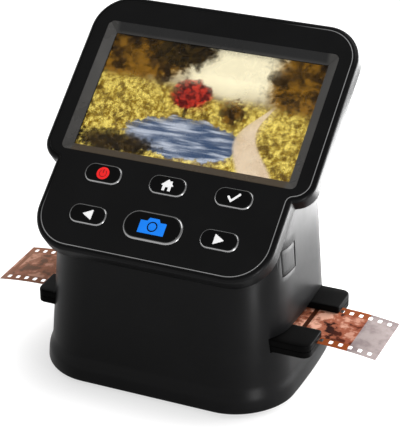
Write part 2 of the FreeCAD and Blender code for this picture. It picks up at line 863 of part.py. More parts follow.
def tact_switches():
    """Six switches, each a square base and a plunger just clear of its button's full travel."""
    switches = []
    tip = "flange_foot - 2 * button_travel"
    for column, row, kind in BUTTONS.values():
        x, y = place_of(column, row)
        parts = []
        for side, foot, high in (
            ("switch_side", "skirt_foot", "switch_thick"),
            ("plunger_side", "skirt_foot + switch_thick", tip + " - skirt_foot - switch_thick"),
        ):
            corner = x + " - %s / 2" % side, y + " - %s / 2" % side
            parts.append(block("switch_part", *corner, foot, side, side, high))
        switches.append(fused("switch", *parts))
    return keep(on_face(compound("tact_switches", *switches)), "tact_switches")


# Display

def display_bezel():
    """Frame whose inner faces slope from the plate's surface down to the picture's edge."""
    low = -s.bezel_depth
    frame = rounded_bar((0, s.bezel_rise), s.bezel_width, s.bezel_height, s.bezel_corner, low, 0)

    def corners(width, height, rise, level):
        half_w, half_h = width / 2, height / 2
        around = ((-half_w, -half_h), (half_w, -half_h), (half_w, half_h), (-half_w, half_h))
        return [Vector(x, y + rise, level) for x, y in around]

    foot = corners(s.picture_width, s.picture_height, 0, low)
    lip = 2 * s.bezel_lip
    rim = corners(s.bezel_width - lip, s.bezel_height - lip, s.bezel_rise, 0)
    return laid(feature("display_bezel", frame.cut(solid_between(foot, rim))))


def display_stack():
    """Window, display panel and backlight, one under the other down to the head's back."""
    window_low = "0 - bezel_depth - window_thick"
    panel_low = window_low + " - display_thick"
    for label, margin, low, thick in (
        ("display_window", "window_margin", window_low, "window_thick"),
        ("display_panel", "display_margin", panel_low, "display_thick"),
        ("backlight_unit", "display_margin", "head_floor", panel_low + " - head_floor"),
    ):
        width, height = "picture_width + 2 * " + margin, "picture_height + 2 * " + margin
        keep(on_face(slab(label, "0", "0", low, width, height, thick)), label)


def display_flex():
    """Flat cable from the backlight down through the head's opening to the main board."""
    low = s.wiring_level + s.flex_drop
    high = FACE.multVec(Vector(0, -low, s.head_floor))
    bend = FACE.multVec(Vector(0, -low, -s.rim_depth - s.flex_drop))
    foot = Vector(0, s.main_row, s.main_top)
    knee = Vector(0, s.main_row, s.main_top + s.flex_drop)
    thick = Vector(0, s.flex_thick, 0)
    strip = flat(high, bend, knee, foot, foot + thick, knee + thick, bend + thick, high + thick)
    strip = strip.extrude(Vector(s.flex_wide, 0, 0))
    strip.translate(Vector(s.wiring_x - s.flex_wide / 2, 0, 0))
    reach = s.tower_reach
    below = Part.makeBox(2 * reach, 2 * reach, reach, Vector(-reach, -reach, s.head_floor - reach))
    below.Placement = FACE
    return feature("display_flex", strip.common(below))


# Base

def base_plate():
    """Plate that closes the tower from below, with posts for the light board and seats for the feet."""
    plate = leaning_block(s.tower_wall + s.base_gap, 0, s.base_thick)
    side = s.light_post_side
    posts = []
    for x in (-s.light_board_length / 2, s.light_board_length / 2 - side):
        for y in (-s.light_board_wide / 2, s.light_board_wide / 2 - side):
            low = (x, s.tray_y + y, s.base_thick)
            posts.append(box_between(low, (x + side, s.tray_y + y + side, s.light_board_z)))
    half = s.foot_side / 2 + s.fit_gap
    for x in (-s.foot_x, s.foot_x):
        for y in (-s.foot_y, s.foot_y):
            low = (x - half, y - half, -s.overrun)
            plate = plate.cut(box_between(low, (x + half, y + half, s.foot_seat)))
    return feature("base_plate", plate.fuse(posts).removeSplitter())


def feet():
    """Four rubber feet stuck in seats under the base plate."""
    for name, side, end in (
        ("foot_front_left", -1, -1),
        ("foot_front_right", 1, -1),
        ("foot_rear_left", -1, 1),
        ("foot_rear_right", 1, 1),
    ):
        x, y = "%d * foot_x - foot_side / 2" % side, "%d * foot_y - foot_side / 2" % end
        high = "foot_proud + foot_seat"
        keep(block(name, x, y, "0 - foot_proud", "foot_side", "foot_side", high), name)


# Film and tray

def tray_frame(label, level, thick):
    """One half of the film tray: a plate with a picture window and a notch in each end."""
    body = slab(
        label, "(tray_right - tray_left) / 2", "tray_y", level,
        "tray_left + tray_right", "tray_wide", thick, "tray_corner",
    )
    top = level + " + " + thick
    sink(body, "0", "tray_y", top, "frame_wide", "frame_high", thick, "notch_corner")
    for side, reach in ((-1, "tray_left"), (1, "tray_right")):
        middle = "%d * (notch_from + %s + notch_corner + overrun) / 2" % (side, reach)
        width = "%s - notch_from + notch_corner + overrun" % reach
        sink(body, middle, "tray_y", top, width, "notch_wide", thick, "notch_corner")
    return body


def film_tray():
    lower = tray_frame("tray_lower_frame", "tray_bottom", "tray_lower_thick")
    sink(
        lower, "(tray_right - tray_left) / 2", "tray_y", "tray_middle",
        "tray_left + tray_right + 2 * overrun", "film_wide + 2 * channel_gap", "channel_deep",
    )
    keep(lower, "tray_lower_frame")
    keep(tray_frame("tray_upper_frame", "tray_middle", "tray_upper_thick"), "tray_upper_frame")


def film_strip():
    """A cut strip of film with a row of perforations along each edge."""
    low = s.tray_middle - (s.channel_deep + s.film_thick) / 2

    def patch(x, y, wide, high):
        left, near = x - wide / 2, y - high / 2
        corners = ((left, near), (left + wide, near), (left + wide, near + high), (left, near + high))
        return flat(*[Vector(*corner, low) for corner in corners])

    count = int(s.film_length / s.hole_pitch)
    start = s.film_middle - (count - 1) * s.hole_pitch / 2
    reach = (s.film_wide - s.hole_high) / 2 - s.hole_margin
    holes = [
        patch(start + index * s.hole_pitch, s.tray_y + side * reach, s.hole_wide, s.hole_high)
        for side in (-1, 1) for index in range(count)
    ]
    strip = patch(s.film_middle, s.tray_y, s.film_length, s.film_wide).cut(Part.makeCompound(holes))
    return feature("film_strip", strip.extrude(Vector(0, 0, s.film_thick)).Solids[0])


def guides():
    """Channel that the tray slides in: a floor on four legs with side rails, and a lid with a window."""
    wide = "(tray_wide + 2 * (running_gap + rail_wide))"
    length, left = "2 * guide_half_length", "0 - guide_half_length"
    low_y = "tray_y - %s / 2" % wide
    parts = [block("floor", left, low_y, "guide_floor", length, wide, "guide_plate")]
    for y in (low_y, "tray_y + %s / 2 - rail_wide" % wide):
        parts.append(block("rail", left, y, "guide_floor", length, "rail_wide", "guide_top - guide_floor"))
    for x in (left + " + leg_side", "guide_half_length - 2 * leg_side"):
        for y in (low_y, "tray_y + %s / 2 - leg_side" % wide):
            parts.append(block("leg", x, y, "base_thick", "leg_side", "leg_side", "guide_floor - base_thick"))
    window = "frame_wide + 2 * guide_window_gap", "frame_high + 2 * guide_window_gap"
    opening = centred("floor_window", "tray_y", "guide_floor - overrun", *window, "guide_plate + 2 * overrun")
    keep(cut("guide_lower", fused("guide_body", *parts), opening), "guide_lower")
    lid = block("guide_lid", left, low_y, "guide_top", length, wide, "guide_plate")
    opening = centred("lid_window", "tray_y", "guide_top - overrun", *window, "guide_plate + 2 * overrun")
    keep(cut("guide_upper", lid, opening), "guide_upper")


# Light box and camera

def light_box():
    """Lamp board on the base's posts, lamps, white box round them and the diffuser in its top."""
    board = centred(
        "light_board", "tray_y", "light_board_z", "light_board_length", "light_board_wide", "board_thick"
    )
    keep(board, "light_board")
    lamps = []
    for column in (-1, 0, 1):
        for row in (-1, 0, 1):
            x = "%d * lamp_pitch - lamp_side / 2" % column
            y = "tray_y + %d * lamp_pitch - lamp_side / 2" % row
            lamps.append(block("lamp", x, y, "light_foot", "lamp_side", "lamp_side", "lamp_thick"))
    keep(compound("light_lamps", *lamps), "light_lamps")
    outer = "light_box_length", "light_box_wide"
    seat = [size + " - 2 * light_box_wall" for size in outer]
    inside = [size + " - 2 * light_ledge" for size in seat]
    box = centred("box", "tray_y", "light_foot", *outer, "guide_floor - light_foot")
    hollow = centred("box_hollow", "tray_y", "light_foot - overrun", *inside, "guide_floor - light_foot")
    ledge = centred("box_seat", "tray_y", "guide_floor - diffuser_thick", *seat, "diffuser_thick + overrun")
    keep(cut("light_frame", box, hollow, ledge), "light_frame")
    loose = [size + " - 2 * fit_gap" for size in seat]
    keep(
        centred("diffuser", "tray_y", "guide_floor - diffuser_thick", *loose, "diffuser_thick"), "diffuser"
    )


def camera():
    """Hood and tube over the film, the lens barrel in it, and the sensor board on top."""
    foot = "guide_top + guide_plate"
    flange = centred(
        "flange", "tray_y", foot,
        "hood_length + 2 * camera_flange", "hood_side + 2 * camera_flange", "camera_flange_thick",
    )
    hood = centred("hood", "tray_y", foot, "hood_length", "hood_side", "hood_top - guide_top - guide_plate")
    tube = centred("tube", "tray_y", "hood_top", "tube_side", "tube_side", "camera_board_z - hood_top")
    inside = centred(
        "hood_inside", "tray_y", foot + " - overrun", "hood_length - 2 * hood_wall",
        "hood_side - 2 * hood_wall", "hood_top - guide_top - guide_plate - hood_wall + overrun",
    )
    bore = rod(
        "bore", "0", "tray_y", "hood_top - 2 * hood_wall", "barrel_radius",
        "camera_board_z - hood_top + 2 * hood_wall",
    )
    keep(cut("camera_holder", fused("holder_body", flange, hood, tube), inside, bore), "camera_holder")
    long = "barrel_high - barrel_low"
    barrel = rod("barrel", "0", "tray_y", "barrel_low", "barrel_radius - fit_gap", long)
    hole = rod("hole", "0", "tray_y", "barrel_low", "barrel_bore", long)
    keep(cut("lens_barrel", barrel, hole), "lens_barrel")
    lens = rod("front_lens", "0", "tray_y", "barrel_low + lens_inset", "barrel_bore - fit_gap", "lens_thick")
    keep(lens, "front_lens")
    side = "camera_board_side"
    keep(centred("camera_board", "tray_y", "camera_board_z", side, side, "board_thick"), "camera_board")
    keep(
        centred(
            "image_sensor", "tray_y", "camera_board_z - sensor_thick",
            "sensor_side", "sensor_side", "sensor_thick",
        ),
        "image_sensor",
    )


# Main board

def main_board():
    """Board across the front with two arms back past the camera, its chips, port and card slot."""
    deep = "main_board_front + main_board_back"
    whole = block(
        "board_whole", "0 - main_board_half", "0 - main_board_front", "main_board_z",
        "2 * main_board_half", deep, "board_thick",
    )
    middle = block(
        "board_gap", "main_arm - main_board_half", "main_strip - main_board_front", "main_board_z - overrun",
        "2 * (main_board_half - main_arm)", deep, "board_thick + 2 * overrun",
    )
    keep(cut("main_board", whole, middle), "main_board")
    chips = [
        block(
            "processor", "main_board_half - chip_inset - chip_side / 2", "card_y - chip_side / 2", "main_top",
            "chip_side", "chip_side", "chip_thick",
        )
    ]
    for side in (-1, 1):
        x = "%d * memory_pitch / 2 - memory_side / 2" % side
        y = "main_row - memory_side / 2"
        chips.append(block("memory", x, y, "main_top", "memory_side", "memory_side", "chip_thick"))
    keep(compound("board_chips", *chips), "board_chips")


def usb_port():
    """Reversible charging port: a thin oval shell with a tongue, facing the flap."""
    front = wall_x(s.main_top) - s.pocket_deep - s.flap_gap
    back = front - s.port_length
    middle_z = s.main_top + s.port_high / 2
    wall, radius = s.port_wall, s.port_high / 2
    half = s.port_wide / 2 - radius

    def oval(inset, x_from, x_to):
        low = middle_z - radius + inset
        flat_part = box_between(
            (x_from, s.port_y - half, low), (x_to, s.port_y + half, low + 2 * (radius - inset))
        )
        ends = [
            Part.makeCylinder(radius - inset, x_to - x_from, Vector(x_from, y, middle_z), Vector(1, 0, 0))
            for y in (s.port_y - half, s.port_y + half)
        ]
        return flat_part.fuse(ends).removeSplitter()

    shell = oval(0, back, front).cut(oval(wall, back + wall, front + s.overrun))
    tongue = box_between(
        (back + wall / 2, s.port_y + wall - half, middle_z - s.port_tongue / 2),
        (front - wall, s.port_y + half - wall, middle_z + s.port_tongue / 2),
    )
    return feature("usb_port", shell.fuse(tongue))


def card_slot():
    """Metal card socket on the left arm, open to the slot in the left wall."""
    left, wide = "0 - main_board_half - shelf_reach / 2", "card_wide - 2 * fit_gap"
    outer = block(
        "card_outer", left, "card_y - card_wide / 2 + fit_gap", "main_top",
        "card_length", wide, "card_high - fit_gap",
    )
    inner = block(
        "card_inner", left + " - overrun", "card_y - card_wide / 2 + card_wall + fit_gap",
        "main_top + card_wall", "card_length + overrun - card_wall",
        wide + " - 2 * card_wall", "card_high - fit_gap - 2 * card_wall",
    )
    keep(cut("card_slot", outer, inner), "card_slot")


body_shell()
port_flap()
flap_pin()
head_housing()
face_plate()
buttons()
keypad()
button_board()
tact_switches()
display_bezel()
display_stack()
display_flex()
base_plate()
feet()
film_tray()
film_strip()
guides()
light_box()
camera()
main_board()
usb_port()
card_slot()
doc.recompute()

for piece in doc.Objects:
    if "Invalid" in piece.State or "Error" in piece.State:
        raise RuntimeError("%s: %s" % (piece.Label, piece.State))
for piece in kept:
    if piece.Shape.isNull() or not piece.Shape.isValid() or not piece.Shape.Solids:
        raise RuntimeError(piece.Label + ": no valid solid")

os.makedirs("parts", exist_ok=True)
for piece in kept:
    piece.Shape.exportStep("parts/%s.step" % piece.Label)
    print("%-20s %d solids, %.1f mm3" % (piece.Label, len(piece.Shape.Solids), piece.Shape.Volume))
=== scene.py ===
"""Dresses the desk film scanner: skins, trims, glyphs, film and finishes around the fixed CAD frame.

Lengths in the tables are millimetres in the scanner's frame: X to the right, Y to the back, Z up.
A place on the slanted face is (across, up, out), measured from the middle of the display.
"""

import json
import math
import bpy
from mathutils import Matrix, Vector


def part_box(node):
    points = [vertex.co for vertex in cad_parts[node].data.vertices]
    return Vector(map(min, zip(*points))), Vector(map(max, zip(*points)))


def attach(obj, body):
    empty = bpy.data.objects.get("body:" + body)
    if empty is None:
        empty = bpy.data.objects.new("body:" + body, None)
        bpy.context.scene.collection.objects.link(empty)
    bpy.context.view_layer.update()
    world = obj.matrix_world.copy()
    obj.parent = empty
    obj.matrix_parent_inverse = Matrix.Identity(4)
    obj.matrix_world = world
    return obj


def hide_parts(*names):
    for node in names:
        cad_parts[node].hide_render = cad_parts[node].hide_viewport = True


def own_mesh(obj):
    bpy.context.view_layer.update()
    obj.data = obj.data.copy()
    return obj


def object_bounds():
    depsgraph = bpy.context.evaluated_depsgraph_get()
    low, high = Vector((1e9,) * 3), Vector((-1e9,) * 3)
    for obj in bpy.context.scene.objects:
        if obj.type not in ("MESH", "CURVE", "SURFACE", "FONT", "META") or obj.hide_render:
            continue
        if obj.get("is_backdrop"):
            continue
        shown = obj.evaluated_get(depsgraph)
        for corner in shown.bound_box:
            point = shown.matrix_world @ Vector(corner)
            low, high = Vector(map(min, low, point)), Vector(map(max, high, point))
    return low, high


bl_info = {
    "name": "Film scanner",
    "version": (1, 0, 0),
    "blender": (4, 5, 0),
    "location": "View3D > Sidebar > Film scanner",
    "description": "Builds the shaped and finished pieces of a desk film scanner",
    "category": "Add Mesh",
}

from functools import cache, partialmethod

import bmesh
import bpy
from bpy.props import FloatProperty, FloatVectorProperty, IntProperty, PointerProperty
from bpy.types import Operator, Panel, PropertyGroup
from mathutils import Matrix, Vector

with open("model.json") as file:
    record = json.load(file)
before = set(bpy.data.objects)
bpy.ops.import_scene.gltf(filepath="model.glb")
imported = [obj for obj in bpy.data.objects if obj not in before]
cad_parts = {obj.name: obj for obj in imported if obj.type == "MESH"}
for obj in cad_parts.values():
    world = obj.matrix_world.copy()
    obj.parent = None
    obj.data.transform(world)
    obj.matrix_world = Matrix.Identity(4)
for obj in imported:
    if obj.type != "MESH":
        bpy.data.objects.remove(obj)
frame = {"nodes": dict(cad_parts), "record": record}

MM = 0.001
SAME_POINT, SAME_PLATE_POINT = 1e-7, 1e-6
TILT = math.radians(37.74)
SCREEN_Y, SCREEN_Z = 17.0, 125.6
PICTURE_WIDTH, PICTURE_HEIGHT = 110.7, 62.3

# The slanted face: a wide head above, a narrower button panel below
HEAD_HALF, HEAD_TOP, HEAD_CORNER = 67.0, 49.0, 16.5
SHOULDER_UP, SHOULDER_ROUND, NOTCH_ROUND = -30.9, 8.5, 3.0
PANEL_HALF, PANEL_BOTTOM, PANEL_CORNER = 58.0, 83.8, 18.0
RIM_OUTSET, RIM_BACK, SEAT_INSET, SEAT_DEEP, HEAD_FLOOR, SEAT_EASE = 2.3, -9.0, -3.0, -2.2, -7.0, 0.12
TRIM_OUTER, TRIM_FOOT, TRIM_SHOULDER, TRIM_TOP, TRIM_SLOPE = -0.05, -2.0, -0.3, -0.1, 0.15

# The tower's walls: half width, front and rear at the desk, and how far they lean per millimetre of height
TOWER_HALF, TOWER_FRONT, TOWER_REAR, TOWER_ROUND = 63.3, -48.1, 48.3, 27.0
SIDE_LEAN, FRONT_LEAN, REAR_LEAN = 0.055, 0.116, 0.018
SIDE_FROM, SIDE_TO, BOW_MIDDLE = -32.0, 26.0, -2.0
PLINTH_MIDDLE, PLINTH_FOOT, PLINTH_TOP, PLINTH_EASE, PLINTH_STEPS = 3.4, 5.5, 13.0, 1.2, 6
PLINTH_TURNS = 0.0, 0.4, 0.8, 1.2, math.pi / 2
TRAY_SLOT_LOW, TRAY_SLOT_HIGH = 28.1, 35.4
FLAP_NEAR, FLAP_FAR, FLAP_LOW, FLAP_HIGH = -21.2, -8.2, 63.0, 76.4
CARD_NEAR, CARD_FAR, CARD_LOW, CARD_HIGH = -19.5, 5.5, 68.3, 71.1
OPENINGS = (
    # side of the tower, near, far, low, high
    (0, SIDE_FROM, SIDE_TO, TRAY_SLOT_LOW, TRAY_SLOT_HIGH),
    (1, FLAP_NEAR, FLAP_FAR, FLAP_LOW, FLAP_HIGH),
    (-1, CARD_NEAR, CARD_FAR, CARD_LOW, CARD_HIGH),
)
LOWER_LEVELS = (18.0, 23.0, TRAY_SLOT_LOW, TRAY_SLOT_HIGH, 41.0, 47.0, 54.0, 60.0)
UPPER_LEVELS = (FLAP_LOW, CARD_LOW, CARD_HIGH, FLAP_HIGH, 81.0)
ROWS_ABOVE, TOP_GUESS, TOP_ROUNDS, EVEN_BEFORE, WALL_EASE = 5, 90.0, 12, -21.7, 0.3
SIDE_STEP, ROUND_STEPS, WALL_STEPS = 2.4, 14, 10

# The port flap, its hinge and the pocket behind it
FLAP_GAP, FLAP_THICK, FLAP_ACROSS, FLAP_UP, LEAF_EASE = 0.12, 1.5, 8, 6, 0.15
HINGE = Vector((58.267, -9.6, 69.7)), Vector((-0.0549, 0.0, 0.9985))
BARREL_RADIUS, BARREL_EASE, BARREL_TURN = 1.12, 0.2, (0, 345, 23)
POCKET_NEAR, POCKET_FAR, POCKET_LOW, POCKET_HIGH, POCKET_CORNER = -24.0, -5.4, 60.2, 79.2, 1
POCKET_INSIDE, POCKET_THICK, POCKET_EASE = 2.75, 2.0, 0.15
PORT_MIDDLE, PORT_SIZE = (-15.5, 69.9), (9.0, 3.3, 1.6)

# Buttons: column, row and size, with its corner radius
SMALL_BAR, LARGE_BAR = (19.0, 10.0, 4.6), (30.0, 15.0, 7.3)
COLUMN, UPPER_ROW, LOWER_ROW = 33.4, -45.3, -67.0
BUTTONS = {
    "power": (-COLUMN, UPPER_ROW, SMALL_BAR),
    "home": (0.0, UPPER_ROW, SMALL_BAR),
    "confirm": (COLUMN, UPPER_ROW, SMALL_BAR),
    "back": (-COLUMN, LOWER_ROW, SMALL_BAR),
    "capture": (0.0, LOWER_ROW, LARGE_BAR),
    "forward": (COLUMN, LOWER_ROW, SMALL_BAR),
}
CAP_GAP, CAP_FOOT, CAP_TOP, CAP_EASE, DISH_STEPS, LARGE_WALL = 0.06, -2.25, 1.1, 0.4, 10, 1.45
MARK_SUNK, MARK_PROUD, SIGN_PROUD, MARK_EASE = 0.35, 0.07, 0.11, 0.02
# A ring's section: share of its wall, level
RING_SECTION = (
    (0, -2.1), (0, 0.12), (0.1, 0.34), (0.62, 0.86), (0.8, 0.92), (0.94, 0.88), (1, 0.78), (1, -2.1),
)

# Marks, round each button's middle: corners as x, y and radius
HOUSE = (
    (-2.15, -2.9, 0), (-0.75, -2.9, 0), (-0.75, -1.0, 0.1), (0.75, -1.0, 0.1), (0.75, -2.9, 0),
    (2.15, -2.9, 0), (2.15, -0.2, 0), (3.3, -0.2, 0.2), (2.15, 0.95, 0), (2.15, 2.3, 0),
    (1.2, 2.3, 0), (1.2, 1.95, 0), (0, 3.1, 0.25), (-3.3, -0.2, 0.2), (-2.15, -0.2, 0),
)
TICK = (
    (-3.2, 0.2, 0.2), (-0.9, -2.6, 0.3), (3.3, 2.0, 0.2), (2.5, 2.75, 0.2),
    (-0.85, -1.0, 0.2), (-2.4, 0.85, 0.2),
)
CAMERA_BODY = (
    (-6.6, -3.9, 0.25), (6.6, -3.9, 0.25), (6.6, 2.5, 0.25), (3.3, 2.5, 0.2),
    (2.4, 4.2, 0.3), (-2.4, 4.2, 0.3), (-3.3, 2.5, 0.2), (-6.6, 2.5, 0.25),
)
ARROW_BACK = (-2.6, 0, 0.25), (2.4, -2.7, 0.25), (2.4, 2.7, 0.25)
ARROW_ON = (2.6, 0, 0.25), (-2.4, 2.7, 0.25), (-2.4, -2.7, 0.25)
WHOLE_TURN, POWER_OPEN = (0, 350, 35), (125, 415, 24)
POWER_DISC, POWER_RING, POWER_STROKE = 3.2, 2.0, 0.42
POWER_BAR = (-0.3, 0.1, 0.1), (0.3, 0.1, 0.1), (0.3, 2.1, 0.1), (-0.3, 2.1, 0.1)
LENS_HOLE, LENS_DISC, LENS_DOWN = 2.6, 1.95, -0.1

# Film and tray
TRAY_Y, TRAY_NOTCH, TRAY_FORK, TRAY_EASE = -3.0, 11.0, 56.0, 0.55
FORK_END, FORK_TIP, FORK_ROOT = 4.0, 1.2, 2.0
TRAY_WINDOW = 38.0, 25.5, 2.0
FRAME_PITCH, FRAME_GAP_AT = 39.0, 130.5
HOLE_WIDTH, HOLE_HEIGHT, HOLE_MARGIN, HOLE_ROUND, HOLE_STEPS = 1.98, 2.8, 2.0, 0.5, 3
LEFT_FROM, RIGHT_FROM, HANGING = -66.0, 75.0, 29.0
SHEET_MERGE, SKIN_MERGE, FLAT_SHARE = 0.01, 0.005, 0.03

# Screws under the base
SCREWS_ACROSS, SCREWS_ALONG, SCREW_TURN, SCREW_SIDES, SCREW_SINK = 103.0, 71.0, 0.35, 28, 0.25
SCREW_RADIUS, SCREW_HEIGHT, SCREW_SLOT, SCREW_CROWN, SLOT_REACH = 2.6, 1.1, 0.6, 0.62, 1.2


# Settings

def length(name, description, default):
    return FloatProperty(name=name, description=description, default=default * MM, min=0.0, unit="LENGTH")


def colour(name, description, default):
    return FloatVectorProperty(
        name=name, description=description, default=default, min=0.0, max=1.0, subtype="COLOR"
    )


class TowerSettings(PropertyGroup):
    wall: length("Wall", "Thickness of the moulded tower wall", 2.4)
    bow: length("Side bow", "Radius of the side walls' bow, seen from above", 400.0)
    flare: length("Plinth flare", "How far the plinth stands out from the walls", 1.5)
    shell: colour("Shell", "Colour of the tower and the head's rim", (0.0044, 0.0044, 0.0047))


class HeadSettings(PropertyGroup):
    front_round: length("Front round", "Radius of the rim's front edge", 2.0)
    back_round: length("Back round", "Radius of the rim's back edge", 1.5)
    trim: length("Trim", "Width of the bright line round the face plate", 0.7)
    plate: colour("Plate", "Colour of the face plate", (0.0042, 0.0042, 0.0045))
    metal: colour("Bright trim", "Colour of the bright line round the face plate", (0.6, 0.6, 0.6))


class ButtonSettings(PropertyGroup):
    ring: length("Ring wall", "Width of the ring round a small button", 0.72)
    dish: length("Dish", "How far a button's middle lies below its edge", 0.12)
    mark: colour("Marks", "Colour of the plain marks", (0.93, 0.93, 0.93))
    power: colour("Power mark", "Colour of the power mark", (0.9, 0.012, 0.012))
    camera: colour("Capture mark", "Colour of the capture mark", (0.0, 0.22, 0.93))


class FilmSettings(PropertyGroup):
    holes: IntProperty(name="Holes", description="Perforations along each edge", default=41, min=2)
    pitch: length("Hole pitch", "Distance from one perforation to the next", 4.75)
    wide: length("Film width", "Width of the strip", 35.0)
    thick: length("Film thickness", "Thickness of the strip", 0.15)
    droop_left: length("Left droop", "How far the left end hangs", 2.3)
    droop_right: length("Right droop", "How far the right end hangs", 2.4)
    base: colour("Film", "Colour of the film's border", (0.27, 0.062, 0.015))


SETTINGS = {
    "scanner_tower": TowerSettings,
    "scanner_head": HeadSettings,
    "scanner_buttons": ButtonSettings,
    "scanner_film": FilmSettings,
}


def setting(group, name):
    """A length from the settings, in millimetres."""
    return getattr(getattr(bpy.context.scene, group), name) / MM


# Meshes

def on_face(across, up, out):
    """A point of the slanted face, in millimetres."""
    back = SCREEN_Y + up * math.cos(TILT) - out * math.sin(TILT)
    return across, back, SCREEN_Z + up * math.sin(TILT) + out * math.cos(TILT)


CORNER_STEPS, END_STEPS, LEAST_RADIUS, PLATE_STEPS = 5, 8, 0.05, 2
RIM_FRONT_STEPS, RIM_BACK_STEPS, BEVEL_STEPS, HARD_EDGE = 7, 6, 2, math.radians(60)


def arc(middle_x, middle_y, radius, start, end, steps):
    """Points of an arc, its angles in degrees."""
    found = []
    for step in range(steps + 1):
        angle = math.radians(start + (end - start) * step / steps)
        found.append((middle_x + radius * math.cos(angle), middle_y + radius * math.sin(angle)))
    return found


def face_outline(outset):
    """The face's outline, moved outwards."""
    turn = math.degrees(math.acos(1 - (HEAD_HALF - PANEL_HALF) / (SHOULDER_ROUND + NOTCH_ROUND)))
    notch_up = SHOULDER_UP - (SHOULDER_ROUND + NOTCH_ROUND) * math.sin(math.radians(turn))
    bends = (
        # across, up, radius, from, to, steps
        (PANEL_HALF - PANEL_CORNER, PANEL_CORNER - PANEL_BOTTOM, PANEL_CORNER + outset, -90, 0, 14),
        (PANEL_HALF + NOTCH_ROUND, notch_up, NOTCH_ROUND - outset, 180, 180 - turn, 8),
        (HEAD_HALF - SHOULDER_ROUND, SHOULDER_UP, SHOULDER_ROUND + outset, -turn, 0, 10),
        (HEAD_HALF - HEAD_CORNER, HEAD_TOP - HEAD_CORNER, HEAD_CORNER + outset, 0, 90, 14),
    )
    right = [point for bend in bends for point in arc(*bend)]
    return right + [(-x, y) for x, y in reversed(right)]


def bar_outline(width, height, corner, inset):
    """A bar with round ends, moved inwards."""
    x, y, radius = width / 2 - corner, height / 2 - corner, max(corner - inset, LEAST_RADIUS)
    x, y = min(x, width / 2 - inset - radius), max(min(y, height / 2 - inset - radius), 0.0)
    corners = ((x, y, 0), (-x, y, 90), (-x, -y, 180), (x, -y, 270))
    return [point for cx, cy, start in corners for point in arc(cx, cy, radius, start, start + 90, END_STEPS)]


def rounded(corners):
    """A closed outline through corners given as x, y and radius."""
    found = []
    for index, (x, y, radius) in enumerate(corners):
        here = Vector((x, y))
        before = (Vector(corners[index - 1][:2]) - here).normalized()
        after = (Vector(corners[(index + 1) % len(corners)][:2]) - here).normalized()
        if radius == 0:
            found.append((x, y))
            continue
        half = before.angle(after) / 2
        middle = here + (before + after).normalized() * radius / math.sin(half)
        start = (here + before * radius / math.tan(half) - middle).normalized()
        end = (here + after * radius / math.tan(half) - middle).normalized()
        for step in range(CORNER_STEPS + 1):
            found.append(tuple(middle + radius * start.slerp(end, step / CORNER_STEPS)))
    return found


def face_loop(outset, level):
    """The face's outline as a loop of points, moved outwards and set at a level."""
    return [on_face(x, y, level) for x, y in face_outline(outset)]


def mesh_of(name, points, faces, turn_out=True):
    """A mesh from millimetre points, with its doubles merged and its faces turned outwards."""
    shape = bmesh.new()
    verts = [shape.verts.new(Vector(point) * MM) for point in points]
    for face in faces:
        shape.faces.new([verts[index] for index in face])
    bmesh.ops.remove_doubles(shape, verts=shape.verts, dist=SAME_POINT)
    unused = [vert for vert in shape.verts if not vert.link_faces]
    bmesh.ops.delete(shape, geom=unused, context="VERTS")
    if turn_out:
        bmesh.ops.recalc_face_normals(shape, faces=shape.faces)
    mesh = bpy.data.meshes.new(name)
    shape.to_mesh(mesh)
    shape.free()
    return mesh


def bridge(rows, closed=False):
    """Quads between rows of points of equal length, each row a closed loop."""
    count, faces = len(rows[0]), []
    pairs = list(zip(range(len(rows)), range(1, len(rows))))
    if closed:
        pairs.append((len(rows) - 1, 0))
    for low, high in pairs:
        for index in range(count):
            after = (index + 1) % count
            low_edge = low * count + index, low * count + after
            faces.append((*low_edge, high * count + after, high * count + index))
    return faces


def loft(name, rows, closed=False):
    """A skin over loops of points, capped at both ends or closed on itself."""
    faces = bridge(rows, closed)
    if not closed:
        count, last = len(rows[0]), (len(rows) - 1) * len(rows[0])
        faces += [tuple(reversed(range(count))), tuple(range(last, last + count))]
    return mesh_of(name, [point for row in rows for point in row], faces)


def plate(name, outline, holes, low, high, ease, place):
    """A flat plate with holes and eased edges, set in place by a function of (x, y, level)."""
    curve = bpy.data.curves.new(name, "CURVE")
    curve.dimensions, curve.fill_mode = "2D", "BOTH"
    curve.extrude = ((high - low) / 2 - ease) * MM
    curve.bevel_depth, curve.offset, curve.bevel_resolution = ease * MM, -ease * MM, PLATE_STEPS
    for line in (outline, *holes):
        spline = curve.splines.new("POLY")
        spline.points.add(len(line) - 1)
        for point, (x, y) in zip(spline.points, line):
            point.co = (x * MM, y * MM, 0.0, 1.0)
        spline.use_cyclic_u = True
    holder = bpy.data.objects.new(name + "_line", curve)
    bpy.context.scene.collection.objects.link(holder)
    mesh = bpy.data.meshes.new_from_object(holder.evaluated_get(bpy.context.evaluated_depsgraph_get()))
    bpy.data.objects.remove(holder)
    bpy.data.curves.remove(curve)
    mesh.name = name
    middle = (low + high) / 2
    shape = bmesh.new()
    shape.from_mesh(mesh)
    bmesh.ops.remove_doubles(shape, verts=shape.verts, dist=SAME_PLATE_POINT)
    bmesh.ops.dissolve_degenerate(shape, edges=shape.edges, dist=SAME_POINT)
    for vert in shape.verts:
        x, y, level = vert.co / MM
        vert.co = Vector(place(x, y, level + middle)) * MM
    bmesh.ops.recalc_face_normals(shape, faces=shape.faces)
    shape.to_mesh(mesh)
    shape.free()
    return mesh


def new_piece(name, mesh, material):
    """A mesh put in the scene with its finish."""
    mesh.materials.clear()
    mesh.materials.append(material)
    piece = bpy.data.objects.new(name, mesh)
    bpy.context.scene.collection.objects.link(piece)
    return piece


def settle(piece, body, replaced=(), sharp=35.0):
    """Smooths a piece up to an angle, puts it on its body's empty, and hides the CAD nodes it replaces."""
    piece.data.shade_smooth()
    piece.data.set_sharp_from_angle(angle=math.radians(sharp))
    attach(piece, body)
    if replaced:
        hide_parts(*replaced)


